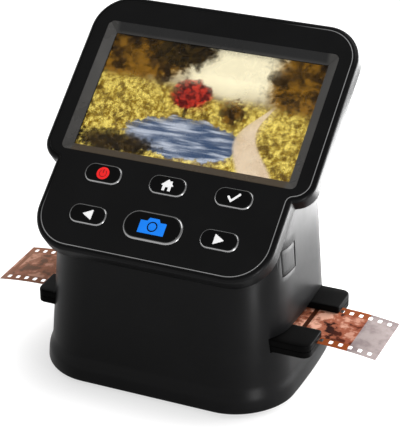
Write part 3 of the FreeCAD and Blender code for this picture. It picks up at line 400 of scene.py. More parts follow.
def add_piece(name, mesh, material, body, replaced=(), sharp=35.0):
    """Puts a finished mesh in the scene as a piece on a body."""
    settle(new_piece(name, mesh, material), body, replaced, sharp)


def apply_modifiers(piece):
    """Replaces a piece's mesh by its evaluated one, as a plain mesh."""
    evaluated = piece.evaluated_get(bpy.context.evaluated_depsgraph_get())
    mesh = bpy.data.meshes.new_from_object(evaluated)
    mesh.name = piece.name
    piece.modifiers.clear()
    piece.data = mesh


def ease_edges(piece, width):
    """Bevels a piece's hard edges and makes the result a plain mesh."""
    ease = piece.modifiers.new("ease", "BEVEL")
    ease.width, ease.segments = width * MM, BEVEL_STEPS
    ease.limit_method, ease.angle_limit = "ANGLE", HARD_EDGE
    apply_modifiers(piece)


# Nodes

def add_node(tree, kind, inputs=(), **values):
    """A new node, with its own values set and its inputs fed."""
    node = tree.nodes.new(kind)
    for key, value in values.items():
        setattr(node, key, value)
    return feed(tree, node, dict(inputs))


def first_of(tree, kind, inputs=(), **values):
    """The first output of a new node."""
    return add_node(tree, kind, inputs, **values).outputs[0]


def feed(tree, node, inputs):
    """Sets or links a node's inputs, by number or name. The parts of a list are linked one by one."""
    for key, value in inputs.items():
        socket = node.inputs[key]
        for part in value if isinstance(value, list) else [value]:
            part = part.socket if isinstance(part, Amount) else part
            if isinstance(part, bpy.types.NodeSocket):
                tree.links.new(part, socket)
            else:
                socket.default_value = (*part, 1.0) if socket.type == "RGBA" else part
    return node


class Amount:
    """A number that changes from place to place. What is worked out from it adds nodes to its tree."""

    def __init__(self, tree, socket):
        self.tree, self.socket = tree, socket

    def worked(self, operation, *others, clamp=False):
        inputs = dict(enumerate((self, *others)))
        node = add_node(self.tree, "ShaderNodeMath", inputs, operation=operation, use_clamp=clamp)
        return Amount(self.tree, node.outputs[0])

    __add__ = partialmethod(worked, "ADD")
    __sub__ = partialmethod(worked, "SUBTRACT")
    __mul__ = partialmethod(worked, "MULTIPLY")
    __truediv__ = partialmethod(worked, "DIVIDE")
    __pow__ = partialmethod(worked, "POWER")
    __abs__ = partialmethod(worked, "ABSOLUTE")

    def ramp(self, low, high, to_low=0.0, to_high=1.0):
        """A smooth step between two amounts."""
        inputs = {0: self, 1: low, 2: high, 3: to_low, 4: to_high}
        step = first_of(self.tree, "ShaderNodeMapRange", inputs, interpolation_type="SMOOTHSTEP")
        return Amount(self.tree, step)

    def along(self, low, high, to_low=0.0, to_high=1.0):
        """The same between two places in millimetres."""
        return self.ramp(low * MM, high * MM, to_low, to_high)

    def fall(self, low, high):
        """A smooth step down from one to nothing."""
        return self.ramp(low, high, 1.0, 0.0)

    def mix(self, one, other):
        """A colour between two, by this share of the other."""
        return add_node(self.tree, "ShaderNodeMix", {0: self, 6: one, 7: other}, data_type="RGBA").outputs[2]


def axes_of(tree, vector):
    """The X, Y and Z of a vector."""
    return [Amount(tree, socket) for socket in add_node(tree, "ShaderNodeSeparateXYZ", {0: vector}).outputs]


def object_place(tree):
    return add_node(tree, "ShaderNodeTexCoord").outputs["Object"]


def noise(tree, vector, scale, detail, roughness=0.5):
    inputs = {"Vector": vector, "Scale": scale, "Detail": detail, "Roughness": roughness}
    return Amount(tree, first_of(tree, "ShaderNodeTexNoise", inputs))


# Materials

def new_material(name):
    """A new node material, with its tree and its shader."""
    material = bpy.data.materials.new("finish_" + name)
    material.use_nodes = True
    return material, material.node_tree, material.node_tree.nodes["Principled BSDF"]


def solid(rgb, level):
    """A colour, made lighter or darker."""
    return rgb[0] * level, rgb[1] * level, rgb[2] * level


GRAIN_SCALE, SMUDGE_SCALE, SPECK_SCALE, SETTLED_SCALE = 2600.0, 42.0, 900.0, 160.0
SMUDGE_RANGE, SPECK_SIZE, SETTLED_RANGE = (0.3, 0.72), (0.1, 0.16), (0.56, 0.72)
DUST_COLOUR, GRAIN_DEEP = (0.3, 0.29, 0.28), 0.02


@cache
def fine_surface():
    """Shared group: moulding grain, handling smudges and settled dust, from Object coordinates."""
    tree = bpy.data.node_groups.new("fine_surface", "ShaderNodeTree")
    tree.interface.new_socket("Vector", in_out="INPUT", socket_type="NodeSocketVector")
    for label, default in (("Grain Scale", GRAIN_SCALE), ("Smudge Scale", SMUDGE_SCALE), ("Dust", 0.0)):
        socket = tree.interface.new_socket(label, in_out="INPUT", socket_type="NodeSocketFloat")
        socket.default_value = default
    for label in ("Grain", "Smudge", "Dust"):
        tree.interface.new_socket(label, in_out="OUTPUT", socket_type="NodeSocketFloat")
    vector, grain_scale, smudge_scale, dust = list(add_node(tree, "NodeGroupInput").outputs)[:4]
    cells = {"Vector": vector, "Scale": SPECK_SCALE, "Randomness": 1.0}
    distance = add_node(tree, "ShaderNodeTexVoronoi", cells, feature="F1").outputs["Distance"]
    settled = noise(tree, vector, SETTLED_SCALE, 2.0).ramp(*SETTLED_RANGE)
    add_node(tree, "NodeGroupOutput", {
        "Grain": noise(tree, vector, grain_scale, 2.0, 0.6),
        "Smudge": noise(tree, vector, smudge_scale, 4.0, 0.62).ramp(*SMUDGE_RANGE),
        "Dust": Amount(tree, distance).fall(*SPECK_SIZE) * settled * dust,
    })
    return tree


def surface(name, rgb, roughness, grain=0.1, reach=0.06, shade=0.18, dust=0.0, **constants):
    """A procedural finish: colour and roughness wander with the smudges, and the grain gives the bump."""
    material, tree, shader = new_material(name)
    inputs = {"Vector": object_place(tree), "Dust": dust}
    fine = add_node(tree, "ShaderNodeGroup", inputs, node_tree=fine_surface()).outputs
    smudge = Amount(tree, fine["Smudge"])
    base = smudge.mix(solid(rgb, 1 - shade), solid(rgb, 1 + shade))
    if dust:
        base = Amount(tree, fine["Dust"]).mix(base, DUST_COLOUR)
    rough = smudge.ramp(0.0, 1.0, roughness - reach, roughness + reach)
    feed(tree, shader, {"Base Color": base, "Roughness": rough})
    if grain:
        inputs = {"Strength": grain, "Distance": GRAIN_DEEP * MM, "Height": fine["Grain"]}
        feed(tree, shader, {"Normal": first_of(tree, "ShaderNodeBump", inputs)})
    feed(tree, shader, {key.replace("_", " "): value for key, value in constants.items()})
    return material


def glass(name, rgb, roughness, ior):
    return surface(name, rgb, roughness, grain=0.0, reach=0.01, shade=0.0, Transmission_Weight=1.0, IOR=ior)


# The display's picture, measured in halves of its width from its middle.
# Grains: size, detail and roughness of each noise
GRAINS = {"coarse": (3.0, 4.0, 0.5), "leafy": (9.0, 6.0, 0.65), "fine": (26.0, 5.0, 0.6)}
RIPPLE_SIZE, RIPPLE_DETAIL = (3.0, 26.0, 1.0), 3.0
# Paints of two tones: grain, where it turns, dark tone, light tone
PAINTS = {
    "leaves": ("leafy", 0.42, 0.62, (0.035, 0.02, 0.006), (0.36, 0.2, 0.025)),
    "shade": ("fine", 0.4, 0.66, (0.012, 0.008, 0.004), (0.11, 0.07, 0.014)),
    "grass": ("fine", 0.36, 0.64, (0.3, 0.19, 0.014), (0.95, 0.8, 0.25)),
    "water": ("ripples", 0.42, 0.66, (0.07, 0.12, 0.22), (0.62, 0.66, 0.74)),
    "shrub": ("fine", 0.44, 0.6, (0.1, 0.006, 0.008), (0.62, 0.07, 0.04)),
}
GRASS_SHADE, GRASS_TURN = (0.16, 0.095, 0.012), (0.36, 0.52)
# Meadow: slope of the horizon, its waviness, and where it starts
HORIZON_SLOPE, HORIZON_WAVES, HORIZON = -0.06, 0.16, (0.06, 0.17)
# Path: where it stands, how it winds, and its half width from the near edge to the horizon
PATH_MIDDLE, PATH_TURNS, PATH_BEND, PATH_WIDTH = 0.6, 7.0, 0.1, (-0.56, 0.12, 0.16, 0.015)
PATH_EDGE, PATH_TONES = (0.8, 1.1), ((0.62, 0.46, 0.3), (0.95, 0.84, 0.68))
SKY_TONES = (0.2, 0.125, 0.03), (1.0, 0.93, 0.7)
# Patches: grain of the edge and its strength, middle, reach, softness; with the paint where they have one
GLOW = "coarse", 0.5, (0.22, 0.42), (0.75, 0.34), 0.6
LAKE = "leafy", 0.8, (-0.05, -0.34), (0.54, 0.19), 0.05
FAR_TREES = (
    ("leaves", "leafy", 1.1, (-0.8, 0.42), (0.62, 0.3), 0.16),
    ("leaves", "leafy", 1.2, (0.86, 0.34), (0.34, 0.42), 0.2),
    ("shade", "leafy", 0.9, (-0.32, 0.5), (0.3, 0.16), 0.2),
)
SHRUBS = (
    ("shade", "fine", 0.6, (-0.115, -0.07), (0.018, 0.07), 0.2),
    ("shrub", "leafy", 0.9, (-0.12, 0.09), (0.19, 0.14), 0.1),
    ("leaves", "fine", 1.6, (0.3, -0.02), (0.12, 0.11), 0.16),
    ("shade", "fine", 1.2, (-0.66, -0.47), (0.4, 0.1), 0.25),
)
SCREEN_DARK, PICTURE_GAMMA, PICTURE_GLOW = (0.002, 0.002, 0.002), 1.3, 1.25
SIDE_EDGE, UPPER_EDGE = (0.995, 0.999), (0.993, 0.998)


def picture():
    """The display's picture: a meadow, a lake, trees against a pale sky and a path, all made up."""
    material, tree, shader = new_material("picture")
    half = PICTURE_WIDTH / 2 * MM
    spot = first_of(tree, "ShaderNodeMapping", {
        "Vector": object_place(tree),
        "Location": (0.0, SCREEN_Y * MM, SCREEN_Z * MM),
        "Rotation": (TILT, 0.0, 0.0),
        "Scale": (half, half, half),
    }, vector_type="TEXTURE")
    x, y, _ = axes_of(tree, spot)
    grains = {name: noise(tree, spot, *sizes) for name, sizes in GRAINS.items()}
    inputs = {"Vector": spot, "Scale": RIPPLE_SIZE}
    stretched = first_of(tree, "ShaderNodeMapping", inputs, vector_type="POINT")
    grains["ripples"] = noise(tree, stretched, 1.0, RIPPLE_DETAIL)
    paints = {
        name: grains[grain].ramp(low, high).mix(dark, light)
        for name, (grain, low, high, dark, light) in PAINTS.items()
    }

    def patch(grain, strength, middle, reach, soft):
        across, up = ((axis - mid) / far for axis, mid, far in zip((x, y), middle, reach))
        span = (across ** 2.0 + up ** 2.0).worked("SQRT")
        return (span + (grains[grain] - 0.5) * strength).fall(1 - soft, 1 + soft)

    paint = patch(*GLOW).mix(*SKY_TONES)
    for name, *place in FAR_TREES:
        paint = patch(*place).mix(paint, paints[name])
    grass = grains["leafy"].ramp(*GRASS_TURN).mix(GRASS_SHADE, paints["grass"])
    meadow = (y - (x * HORIZON_SLOPE + (grains["coarse"] - 0.5) * HORIZON_WAVES)).fall(*HORIZON)
    paint = meadow.mix(paint, grass)
    paint = patch(*LAKE).mix(paint, paints["water"])
    # The path winds up on the right and narrows to the horizon
    side = abs(x - PATH_MIDDLE - (y * PATH_TURNS).worked("SINE") * PATH_BEND)
    path = (side / y.ramp(*PATH_WIDTH)).fall(*PATH_EDGE) * meadow
    paint = path.mix(paint, grains["leafy"].mix(*PATH_TONES))
    for name, *place in SHRUBS:
        paint = patch(*place).mix(paint, paints[name])
    high = PICTURE_HEIGHT / PICTURE_WIDTH
    inside = abs(x).fall(*SIDE_EDGE) * abs(y).fall(*(high * share for share in UPPER_EDGE))
    deep = first_of(tree, "ShaderNodeGamma", {0: paint, 1: PICTURE_GAMMA})
    feed(tree, shader, {
        "Base Color": SCREEN_DARK, "Roughness": 0.3, "Specular IOR Level": 0.1,
        "Emission Color": inside.mix(SCREEN_DARK, deep), "Emission Strength": PICTURE_GLOW,
    })
    return material


# The film's images: dark, middle and light tone, and what each end is toned with; the left end's pale tone is
# painted light, as if shining through the film
IMAGE_DARK, IMAGE_MIDDLE, IMAGE_LIGHT = (0.016, 0.005, 0.004), (0.42, 0.13, 0.07), (0.92, 0.5, 0.36)
BETWEEN_FRAMES, RIGHT_TONE, LEFT_PAINTED_LIGHT = (0.016, 0.006, 0.004), (0.17, 0.032, 0.014), (0.95, 0.5, 0.32)
FOG_TONES = (0.25, 0.2, 0.2), (0.38, 0.32, 0.31)
# Grains of the film: size, detail, roughness; shares of the first two in the image, and where its tones turn
FILM_SHAPES, FILM_DETAIL, FILM_BORDER = (95.0, 2.0), (260.0, 5.0, 0.62), (120.0, 3.0)
FILM_SHARES = 0.62, 0.38
DARK_TURN, LIGHT_TURN, FOG_TURN, BORDER_SPAN = (0.42, 0.48), (0.5, 0.57), (0.4, 0.6), (0.8, 1.25)
# Changes along the film in millimetres, with their strength at both ends, and the edges of a frame
LEFT_FADE, RIGHT_FADE, GAP_FADE = (-66.0, -55.0, 0.3, 0.0), (72.0, 88.0, 0.0, 0.5), (0.0, 20.0, 0.0, 0.85)
FOGGED = 89.7, 90.1
FRAME_SIDES, FRAME_ENDS = (11.9, 12.1, 1.0, 0.0), (0.468, 0.474)


def film_stock():
    """Developed colour negative: an orange border with frames of soft shapes, and a fogged pale end."""
    base = bpy.context.scene.scanner_film.base
    material = surface("film_stock", base, 0.24, grain=0.0, reach=0.08, shade=0.1, Specular_IOR_Level=0.06)
    tree = material.node_tree
    place = object_place(tree)
    x, y, _ = axes_of(tree, place)
    within = ((x + FRAME_GAP_AT * MM) / (FRAME_PITCH * MM)).worked("FRACT")
    rows = abs(y - TRAY_Y * MM).along(*FRAME_SIDES)
    shown = abs(within - 0.5).fall(*FRAME_ENDS) * rows
    shapes, detail = (
        noise(tree, place, *grain) * share for grain, share in zip((FILM_SHAPES, FILM_DETAIL), FILM_SHARES)
    )
    blend = shapes + detail
    image = blend.ramp(*DARK_TURN).mix(IMAGE_DARK, IMAGE_MIDDLE)
    image = x.along(*RIGHT_FADE).mix(blend.ramp(*LIGHT_TURN).mix(image, IMAGE_LIGHT), RIGHT_TONE)
    border = noise(tree, place, *FILM_BORDER).mix(*(solid(base, level) for level in BORDER_SPAN))
    border = ((rows - shown) * x.along(*GAP_FADE)).mix(border, BETWEEN_FRAMES)
    # The left end is lightened with painted light, as if shining through the film
    toned = x.along(*LEFT_FADE).mix(shown.mix(border, image), LEFT_PAINTED_LIGHT)
    pale = blend.ramp(*FOG_TURN).mix(*FOG_TONES)
    feed(tree, tree.nodes["Principled BSDF"], {"Base Color": x.along(*FOGGED).mix(toned, pale)})
    return material


def light_painted_by_place(material, tone):
    """Paints light and shade into a finish's base colour, by a function of that colour and the place's x and
    z.
    """
    tree = material.node_tree
    shader = tree.nodes["Principled BSDF"]
    x, _, z = axes_of(tree, object_place(tree))
    feed(tree, shader, {"Base Color": tone(shader.inputs["Base Color"].links[0].from_socket, x, z)})
    return material


# Painted light on the bezel: painted shade on the slope above the display, and a painted warm reflection of
# the picture on the slope below it
BEZEL_GREY, BEZEL_SHADED, BEZEL_PICTURE_REFLECTION = (0.085, 0.081, 0.076), (0.008, 0.008, 0.008), (0.085, 0.06, 0.034)
# Where the slopes lie, in millimetres across and up
BEZEL_MIDDLE, BEZEL_ABOVE, BEZEL_BELOW = (53.5, 56.0, 1.0, 0.0), (142.5, 144.5), (106.8, 108.8, 1.0, 0.0)
# The bright trim's painted shade: dark along the top and the left, bright towards the right and the bottom
TRIM_RIGHT, TRIM_BOTTOM, TRIM_SHADED = (25.0, 62.0), (76.0, 92.0, 1.0, 0.0), (0.035, 0.035, 0.035)


def bezel_grey_with_painted_light():
    """Grey slopes round the display, with painted shade on the slope above it and a painted warm reflection
    of the picture on the slope below it.
    """
    def tone(base, x, z):
        middle = abs(x).along(*BEZEL_MIDDLE)
        above, below = (middle * z.along(*slope) for slope in (BEZEL_ABOVE, BEZEL_BELOW))
        return below.mix(above.mix(base, BEZEL_SHADED), BEZEL_PICTURE_REFLECTION)

    return light_painted_by_place(surface("bezel_grey", BEZEL_GREY, 0.3, reach=0.05, Specular_IOR_Level=0.5), tone)


def bright_trim_painted_shade():
    """Bright line with painted shade along the top and the left; it stays bright along the bottom and the
    right.
    """
    def tone(base, x, z):
        return x.along(*TRIM_RIGHT).worked("MAXIMUM", z.along(*TRIM_BOTTOM)).mix(TRIM_SHADED, base)

    metal = bpy.context.scene.scanner_head.metal
    return light_painted_by_place(surface("bright_trim_painted_shade", metal, 0.2, reach=0.05, shade=0.08, Metallic=1.0), tone)


RING_TONE, SCREW_TONE, SIGN_RED = (0.34, 0.34, 0.34), (0.12, 0.12, 0.125), (0.22, 0.0, 0.002)


def ring_metal():
    return surface("ring_metal", RING_TONE, 0.27, reach=0.04, shade=0.1, Metallic=1.0)


def mark_ink(name, rgb):
    """Printed mark: plain colour with a faint painted glow, as though lit from within."""
    # Painted glow: the mark emits its own colour faintly
    glow = {"Emission_Color": rgb, "Emission_Strength": 0.5}
    return surface(name, rgb, 0.4, grain=0.05, reach=0.04, shade=0.03, **glow)


@cache
def finishes():
    """The finish of each record slot, by slot name."""
    shell, plate_black = bpy.context.scene.scanner_tower.shell, bpy.context.scene.scanner_head.plate
    rows = {
        # slot: colour, roughness and what departs from the usual finish
        "shell_black": (shell, 0.34, dict(grain=0.12, reach=0.035, dust=0.01, Specular_IOR_Level=0.11)),
        "plate_black": (plate_black, 0.22, dict(grain=0.0, reach=0.04, dust=0.008, Specular_IOR_Level=0.2)),
        "base_black": ((0.012, 0.012, 0.012), 0.55, dict(grain=0.4, dust=0.05)),
        "button_black": ((0.001, 0.001, 0.0011), 0.09, dict(grain=0.0, reach=0.03, Specular_IOR_Level=0.15)),
        "board_green": ((0.01, 0.075, 0.03), 0.38, dict(grain=0.2, Coat_Weight=0.4)),
        "switch_black": ((0.018, 0.018, 0.02), 0.42, dict(grain=0.3)),
        "bare_steel": ((0.56, 0.55, 0.53), 0.3, dict(grain=0.2, Metallic=1.0)),
        "pad_rubber": ((0.3, 0.3, 0.31), 0.6, dict(grain=0.4)),
        "foot_rubber": ((0.011, 0.011, 0.011), 0.72, dict(grain=0.6, dust=0.08)),
        "tray_black": ((0.003, 0.0029, 0.0029), 0.46, dict(grain=0.35, dust=0.004, Specular_IOR_Level=0.02)),
        "inner_grey": ((0.028, 0.028, 0.03), 0.5, dict(grain=0.3)),
        "lamp_white": ((0.72, 0.72, 0.68), 0.35, {}),
        "diffuser_white": ((0.82, 0.83, 0.84), 0.55, dict(grain=0.2)),
        "flex_amber": ((0.34, 0.13, 0.015), 0.32, {}),
    }
    looks = {name: surface(name, rgb, roughness, **more) for name, (rgb, roughness, more) in rows.items()}
    looks["window_clear"] = glass("window_clear", (0.98, 0.98, 0.98), 0.02, 1.18)
    looks["lens_glass"] = glass("lens_glass", (0.9, 0.93, 0.97), 0.01, 1.52)
    looks.update(bezel_grey=bezel_grey_with_painted_light(), display_dark=picture(), film_amber=film_stock())
    return looks


# Tower

def cut_level(y):
    """Height at which the tower meets the back of the head."""
    return SCREEN_Z + (y - SCREEN_Y) * math.tan(TILT) + RIM_BACK / math.cos(TILT)


def tower_point(column, z, outset=0.0):
    """A point of the tower's right half at a height."""
    kind, share = column
    half = TOWER_HALF - SIDE_LEAN * z + outset
    front, rear = TOWER_FRONT + FRONT_LEAN * z - outset, TOWER_REAR - REAR_LEAN * z + outset
    radius = TOWER_ROUND + outset
    near, far = front + radius, rear - radius
    if kind == "front":
        x, y = share * (half - radius), front
    elif kind == "rear":
        x, y = (1 - share) * (half - radius), rear
    elif kind == "near":
        angle = share * math.acos((near - SIDE_FROM) / radius)
        x, y = half - radius + radius * math.sin(angle), near - radius * math.cos(angle)
    elif kind == "far":
        first = math.asin((SIDE_TO - far) / radius)
        angle = first + share * (math.pi / 2 - first)
        x, y = half - radius + radius * math.cos(angle), far + radius * math.sin(angle)
    else:
        y = share
        past = max(near - y, y - far, 0.0)
        x = half - radius + math.sqrt(radius ** 2 - past ** 2)
    bow = (y - BOW_MIDDLE) ** 2 / (2 * setting("scanner_tower", "bow"))
    return x * (1 - bow / half), y


def tower_columns():
    """Where the tower's upright lines stand, from the middle of the front to the middle of the rear."""
    columns = [("front", step / WALL_STEPS) for step in range(WALL_STEPS)]
    columns += [("near", step / ROUND_STEPS) for step in range(ROUND_STEPS)]
    breaks = (SIDE_FROM, FLAP_NEAR, CARD_NEAR, FLAP_FAR, CARD_FAR, SIDE_TO)
    for start, end in zip(breaks, breaks[1:]):
        steps = max(1, round((end - start) / SIDE_STEP))
        columns += [("side", start + (end - start) * step / steps) for step in range(steps)]
    columns.append(("side", SIDE_TO))
    columns += [("far", step / ROUND_STEPS) for step in range(1, ROUND_STEPS)]
    return columns + [("rear", step / WALL_STEPS) for step in range(WALL_STEPS + 1)]


def tower_rows():
    """Heights of the tower's lower rows, with how far each stands out."""
    flare, ease = setting("scanner_tower", "flare"), PLINTH_EASE
    rows = [(ease - ease * math.cos(turn), flare - ease + ease * math.sin(turn)) for turn in PLINTH_TURNS]
    rows += [(PLINTH_MIDDLE, flare), (PLINTH_FOOT, flare)]
    for step in range(1, PLINTH_STEPS + 1):
        share = step / PLINTH_STEPS
        level = PLINTH_FOOT + (PLINTH_TOP - PLINTH_FOOT) * share
        rows.append((level, flare * (1 + math.cos(math.pi * share)) / 2))
    return rows + [(level, 0.0) for level in LOWER_LEVELS]


def tower_skin_mesh():
    """The tower's walls as one open skin, without its openings."""
    columns, lower = tower_columns(), tower_rows()
    grid = [[(*tower_point(column, level, outset), level) for column in columns] for level, outset in lower]
    base, count, last = lower[-1][0], len(UPPER_LEVELS) + ROWS_ABOVE, UPPER_LEVELS[-1]
    tops = []
    for column in columns:
        level = TOP_GUESS
        for _ in range(TOP_ROUNDS):
            level = cut_level(tower_point(column, level)[1])
        tops.append(level)
    for row in range(1, count + 1):
        line = []
        for column, top in zip(columns, tops):
            if tower_point(column, top)[1] < EVEN_BEFORE:
                level = base + (top - base) * row / count
            elif row <= len(UPPER_LEVELS):
                level = UPPER_LEVELS[row - 1]
            else:
                level = last + (top - last) * (row - len(UPPER_LEVELS)) / ROWS_ABOVE
            line.append((*tower_point(column, level), level))
        grid.append(line)
    rows = [line + [(-x, y, z) for x, y, z in reversed(line[1:-1])] for line in grid]
    points, faces = [point for row in rows for point in row], []
    for face in bridge(rows):
        x, y, z = (sum(points[index][axis] for index in face) / 4 for axis in range(3))
        opened = (
            side * x >= 0 and near < y < far and low < z < high for side, near, far, low, high in OPENINGS
        )
        if not any(opened):
            faces.append(face)
    return mesh_of("tower_skin", points, faces, turn_out=False)


class SCANNER_OT_tower(Operator):
    """Build the tower's bowed walls with their plinth and slots, and the pocket behind the port flap"""
    bl_idname = "scanner.tower"
    bl_label = "Tower"

    def execute(self, context):
        shell = finishes()["shell_black"]
        skin = new_piece("tower_skin", tower_skin_mesh(), shell)
        wall = skin.modifiers.new("wall", "SOLIDIFY")
        wall.thickness, wall.offset, wall.use_even_offset = context.scene.scanner_tower.wall, -1.0, True
        ease_edges(skin, WALL_EASE)
        settle(skin, "body", ["body_shell"], sharp=40.0)

        def against_wall(across, up, out):
            return TOWER_HALF - SIDE_LEAN * up - POCKET_INSIDE + out, across, up

        near, far, low, high = POCKET_NEAR, POCKET_FAR, POCKET_LOW, POCKET_HIGH
        corners = ((near, low), (far, low), (far, high), (near, high))
        outline = rounded([(*corner, POCKET_CORNER) for corner in corners])
        port = [(x + PORT_MIDDLE[0], y + PORT_MIDDLE[1]) for x, y in bar_outline(*PORT_SIZE, 0.0)]
        pocket = plate("port_pocket", outline, [port], -POCKET_THICK, 0.0, POCKET_EASE, against_wall)
        add_piece("port_pocket", pocket, shell, "body")
        return {"FINISHED"}


class SCANNER_OT_flap(Operator):
    """Build the port flap: a leaf that follows the bowed wall, with its hinge barrel"""
    bl_idname = "scanner.flap"
    bl_label = "Port flap"

    def execute(self, context):
        shell = finishes()["shell_black"]
        low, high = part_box("port_flap")
        middle, axis = HINGE
        near, far = low.y / MM + FLAP_GAP, middle.y
        bottom, top = low.z / MM + FLAP_GAP, high.z / MM - FLAP_GAP
        across, up = FLAP_ACROSS, FLAP_UP
        grid = []
        for deep in (0.0, FLAP_THICK):
            for row in range(up + 1):
                level = bottom + (top - bottom) * row / up
                for step in range(across + 1):
                    y = near + (far - near) * step / across
                    grid.append((tower_point(("side", y), level)[0] - deep, y, level))
        width, layer = across + 1, (across + 1) * (up + 1)
        faces = []
        for row in range(up):
            for step in range(across):
                a = row * width + step
                faces.append((a, a + 1, a + width + 1, a + width))
                b = a + layer
                faces.append((b, b + width, b + width + 1, b + 1))
        edge = [row * width for row in range(up, 0, -1)] + list(range(across))
        edge += [row * width + across for row in range(up)]
        edge += [up * width + step for step in range(across, 0, -1)]
        for one, other in zip(edge, edge[1:] + edge[:1]):
            faces.append((one, one + layer, other + layer, other))
        leaf = new_piece("flap_leaf", mesh_of("flap_leaf", grid, faces), shell)
        ease_edges(leaf, LEAF_EASE)
        settle(leaf, "flap", ["port_flap"], sharp=40.0)
        first, last = (bottom - middle.z) / axis.z, (top - middle.z) / axis.z
        ease, rows = BARREL_EASE, []
        for along, inset in ((first, ease), (first + ease, 0), (last - ease, 0), (last, ease)):
            place = middle + axis * along
            ring = arc(place.x, place.y, BARREL_RADIUS - inset, *BARREL_TURN)
            rows.append([(x, y, place.z) for x, y in ring])
        add_piece("flap_barrel", loft("flap_barrel", rows), shell, "flap")
        return {"FINISHED"}


# Head

class SCANNER_OT_head(Operator):
    """Build the head's rounded rim and the bright line round the face plate"""
    bl_idname = "scanner.head"
    bl_label = "Head and trim"

    def execute(self, context):
        front, back = setting("scanner_head", "front_round"), setting("scanner_head", "back_round")
        section = [(SEAT_INSET, HEAD_FLOOR), (SEAT_INSET, SEAT_DEEP), (0.0, SEAT_DEEP)]
        section += [(0.0, -SEAT_EASE), (SEAT_EASE, 0.0)]
        section += arc(RIM_OUTSET - front, -front, front, 90, 0, RIM_FRONT_STEPS)
        section += arc(RIM_OUTSET - back, RIM_BACK + back, back, 0, -90, RIM_BACK_STEPS)
        rim = loft("head_rim", [face_loop(*corner) for corner in section])
        shell = finishes()["shell_black"]
        add_piece("head_rim", rim, shell, "body", ["head_housing"], sharp=30.0)
        inner = TRIM_OUTER - setting("scanner_head", "trim")
        section = [(TRIM_OUTER, TRIM_FOOT), (TRIM_OUTER, TRIM_SHOULDER), (TRIM_OUTER - TRIM_SLOPE, TRIM_TOP)]
        section += [(inner + TRIM_SLOPE, TRIM_TOP), (inner, TRIM_SHOULDER), (inner, TRIM_FOOT)]
        line = loft("trim_line", [face_loop(*corner) for corner in section], closed=True)
        add_piece("trim_line", line, bright_trim_painted_shade(), "body", sharp=30.0)
        return {"FINISHED"}


# Buttons

def mark_outlines():
    """Each button's marks, as solid shapes: name, outline and holes."""
    start, end, steps = POWER_OPEN
    ring = arc(0, 0, POWER_RING, start, end, steps) + arc(0, 0, POWER_RING - POWER_STROKE, end, start, steps)
    hole, lens = (arc(0, LENS_DOWN, radius, *WHOLE_TURN) for radius in (LENS_HOLE, LENS_DISC))
    return {
        "power": [("power_mark", arc(0, 0, POWER_DISC, *WHOLE_TURN), [])],
        "power_sign": [("power_sign_ring", ring, []), ("power_sign_bar", rounded(POWER_BAR), [])],
        "home": [("home_mark", rounded(HOUSE), [])],
        "confirm": [("confirm_mark", rounded(TICK), [])],
        "back": [("back_mark", rounded(ARROW_BACK), [])],
        "forward": [("forward_mark", rounded(ARROW_ON), [])],
        "capture": [("capture_mark", rounded(CAMERA_BODY), [hole]), ("capture_mark_lens", lens, [])],
    }


class SCANNER_OT_buttons(Operator):
    """Build the dished button caps, the rings round them and their marks"""
    bl_idname = "scanner.buttons"
    bl_label = "Buttons"

    def execute(self, context):
        tones = context.scene.scanner_buttons
        ring, dish = setting("scanner_buttons", "ring"), setting("scanner_buttons", "dish")
        black, silver = finishes()["button_black"], ring_metal()
        inks = {
            "power": mark_ink("mark_red", tones.power),
            "power_sign": mark_ink("mark_dark_red", SIGN_RED),
            "capture": mark_ink("mark_blue", tones.camera),
        }
        white = mark_ink("mark_white", tones.mark)
        outlines = mark_outlines()
        for name, (across, up, bar) in BUTTONS.items():
            def placed(x, y, level):
                return on_face(across + x, up + y, level)

            def loop(inset, level):
                return [placed(x, y, level) for x, y in bar_outline(*bar, inset)]

            wall = ring * (LARGE_WALL if bar == LARGE_BAR else 1.0)
            less = wall + CAP_GAP
            half = bar[1] / 2 - less
            rows = [loop(less, CAP_FOOT)]
            ease = arc(less + CAP_EASE, CAP_TOP - CAP_EASE, CAP_EASE, 180, 90, CORNER_STEPS)
            rows += [loop(*spot) for spot in ease]
            for step in range(1, DISH_STEPS):
                share = 1 - step / DISH_STEPS
                inset = less + CAP_EASE + (half - CAP_EASE) * (1 - share)
                rows.append(loop(inset, CAP_TOP - dish * (1 - share ** 3)))
            cap, key = loft(name + "_cap", rows), name + "_key"
            add_piece(name + "_cap", cap, black, key, [name + "_button"], sharp=50.0)
            rows = [loop(share * wall, level) for share, level in RING_SECTION]
            collar = loft(name + "_ring", rows, closed=True)
            add_piece(name + "_ring", collar, silver, "body", sharp=40.0)
            kinds = [name, "power_sign"] if name == "power" else [name]
            for kind, (label, line, holes) in ((kind, mark) for kind in kinds for mark in outlines[kind]):
                proud = SIGN_PROUD if kind == "power_sign" else MARK_PROUD
                low, high = CAP_TOP - dish - MARK_SUNK, CAP_TOP - dish + proud
                mesh = plate(label, line, holes, low, high, MARK_EASE, placed)
                add_piece(label, mesh, inks.get(kind, white), key)
        return {"FINISHED"}


# Film path

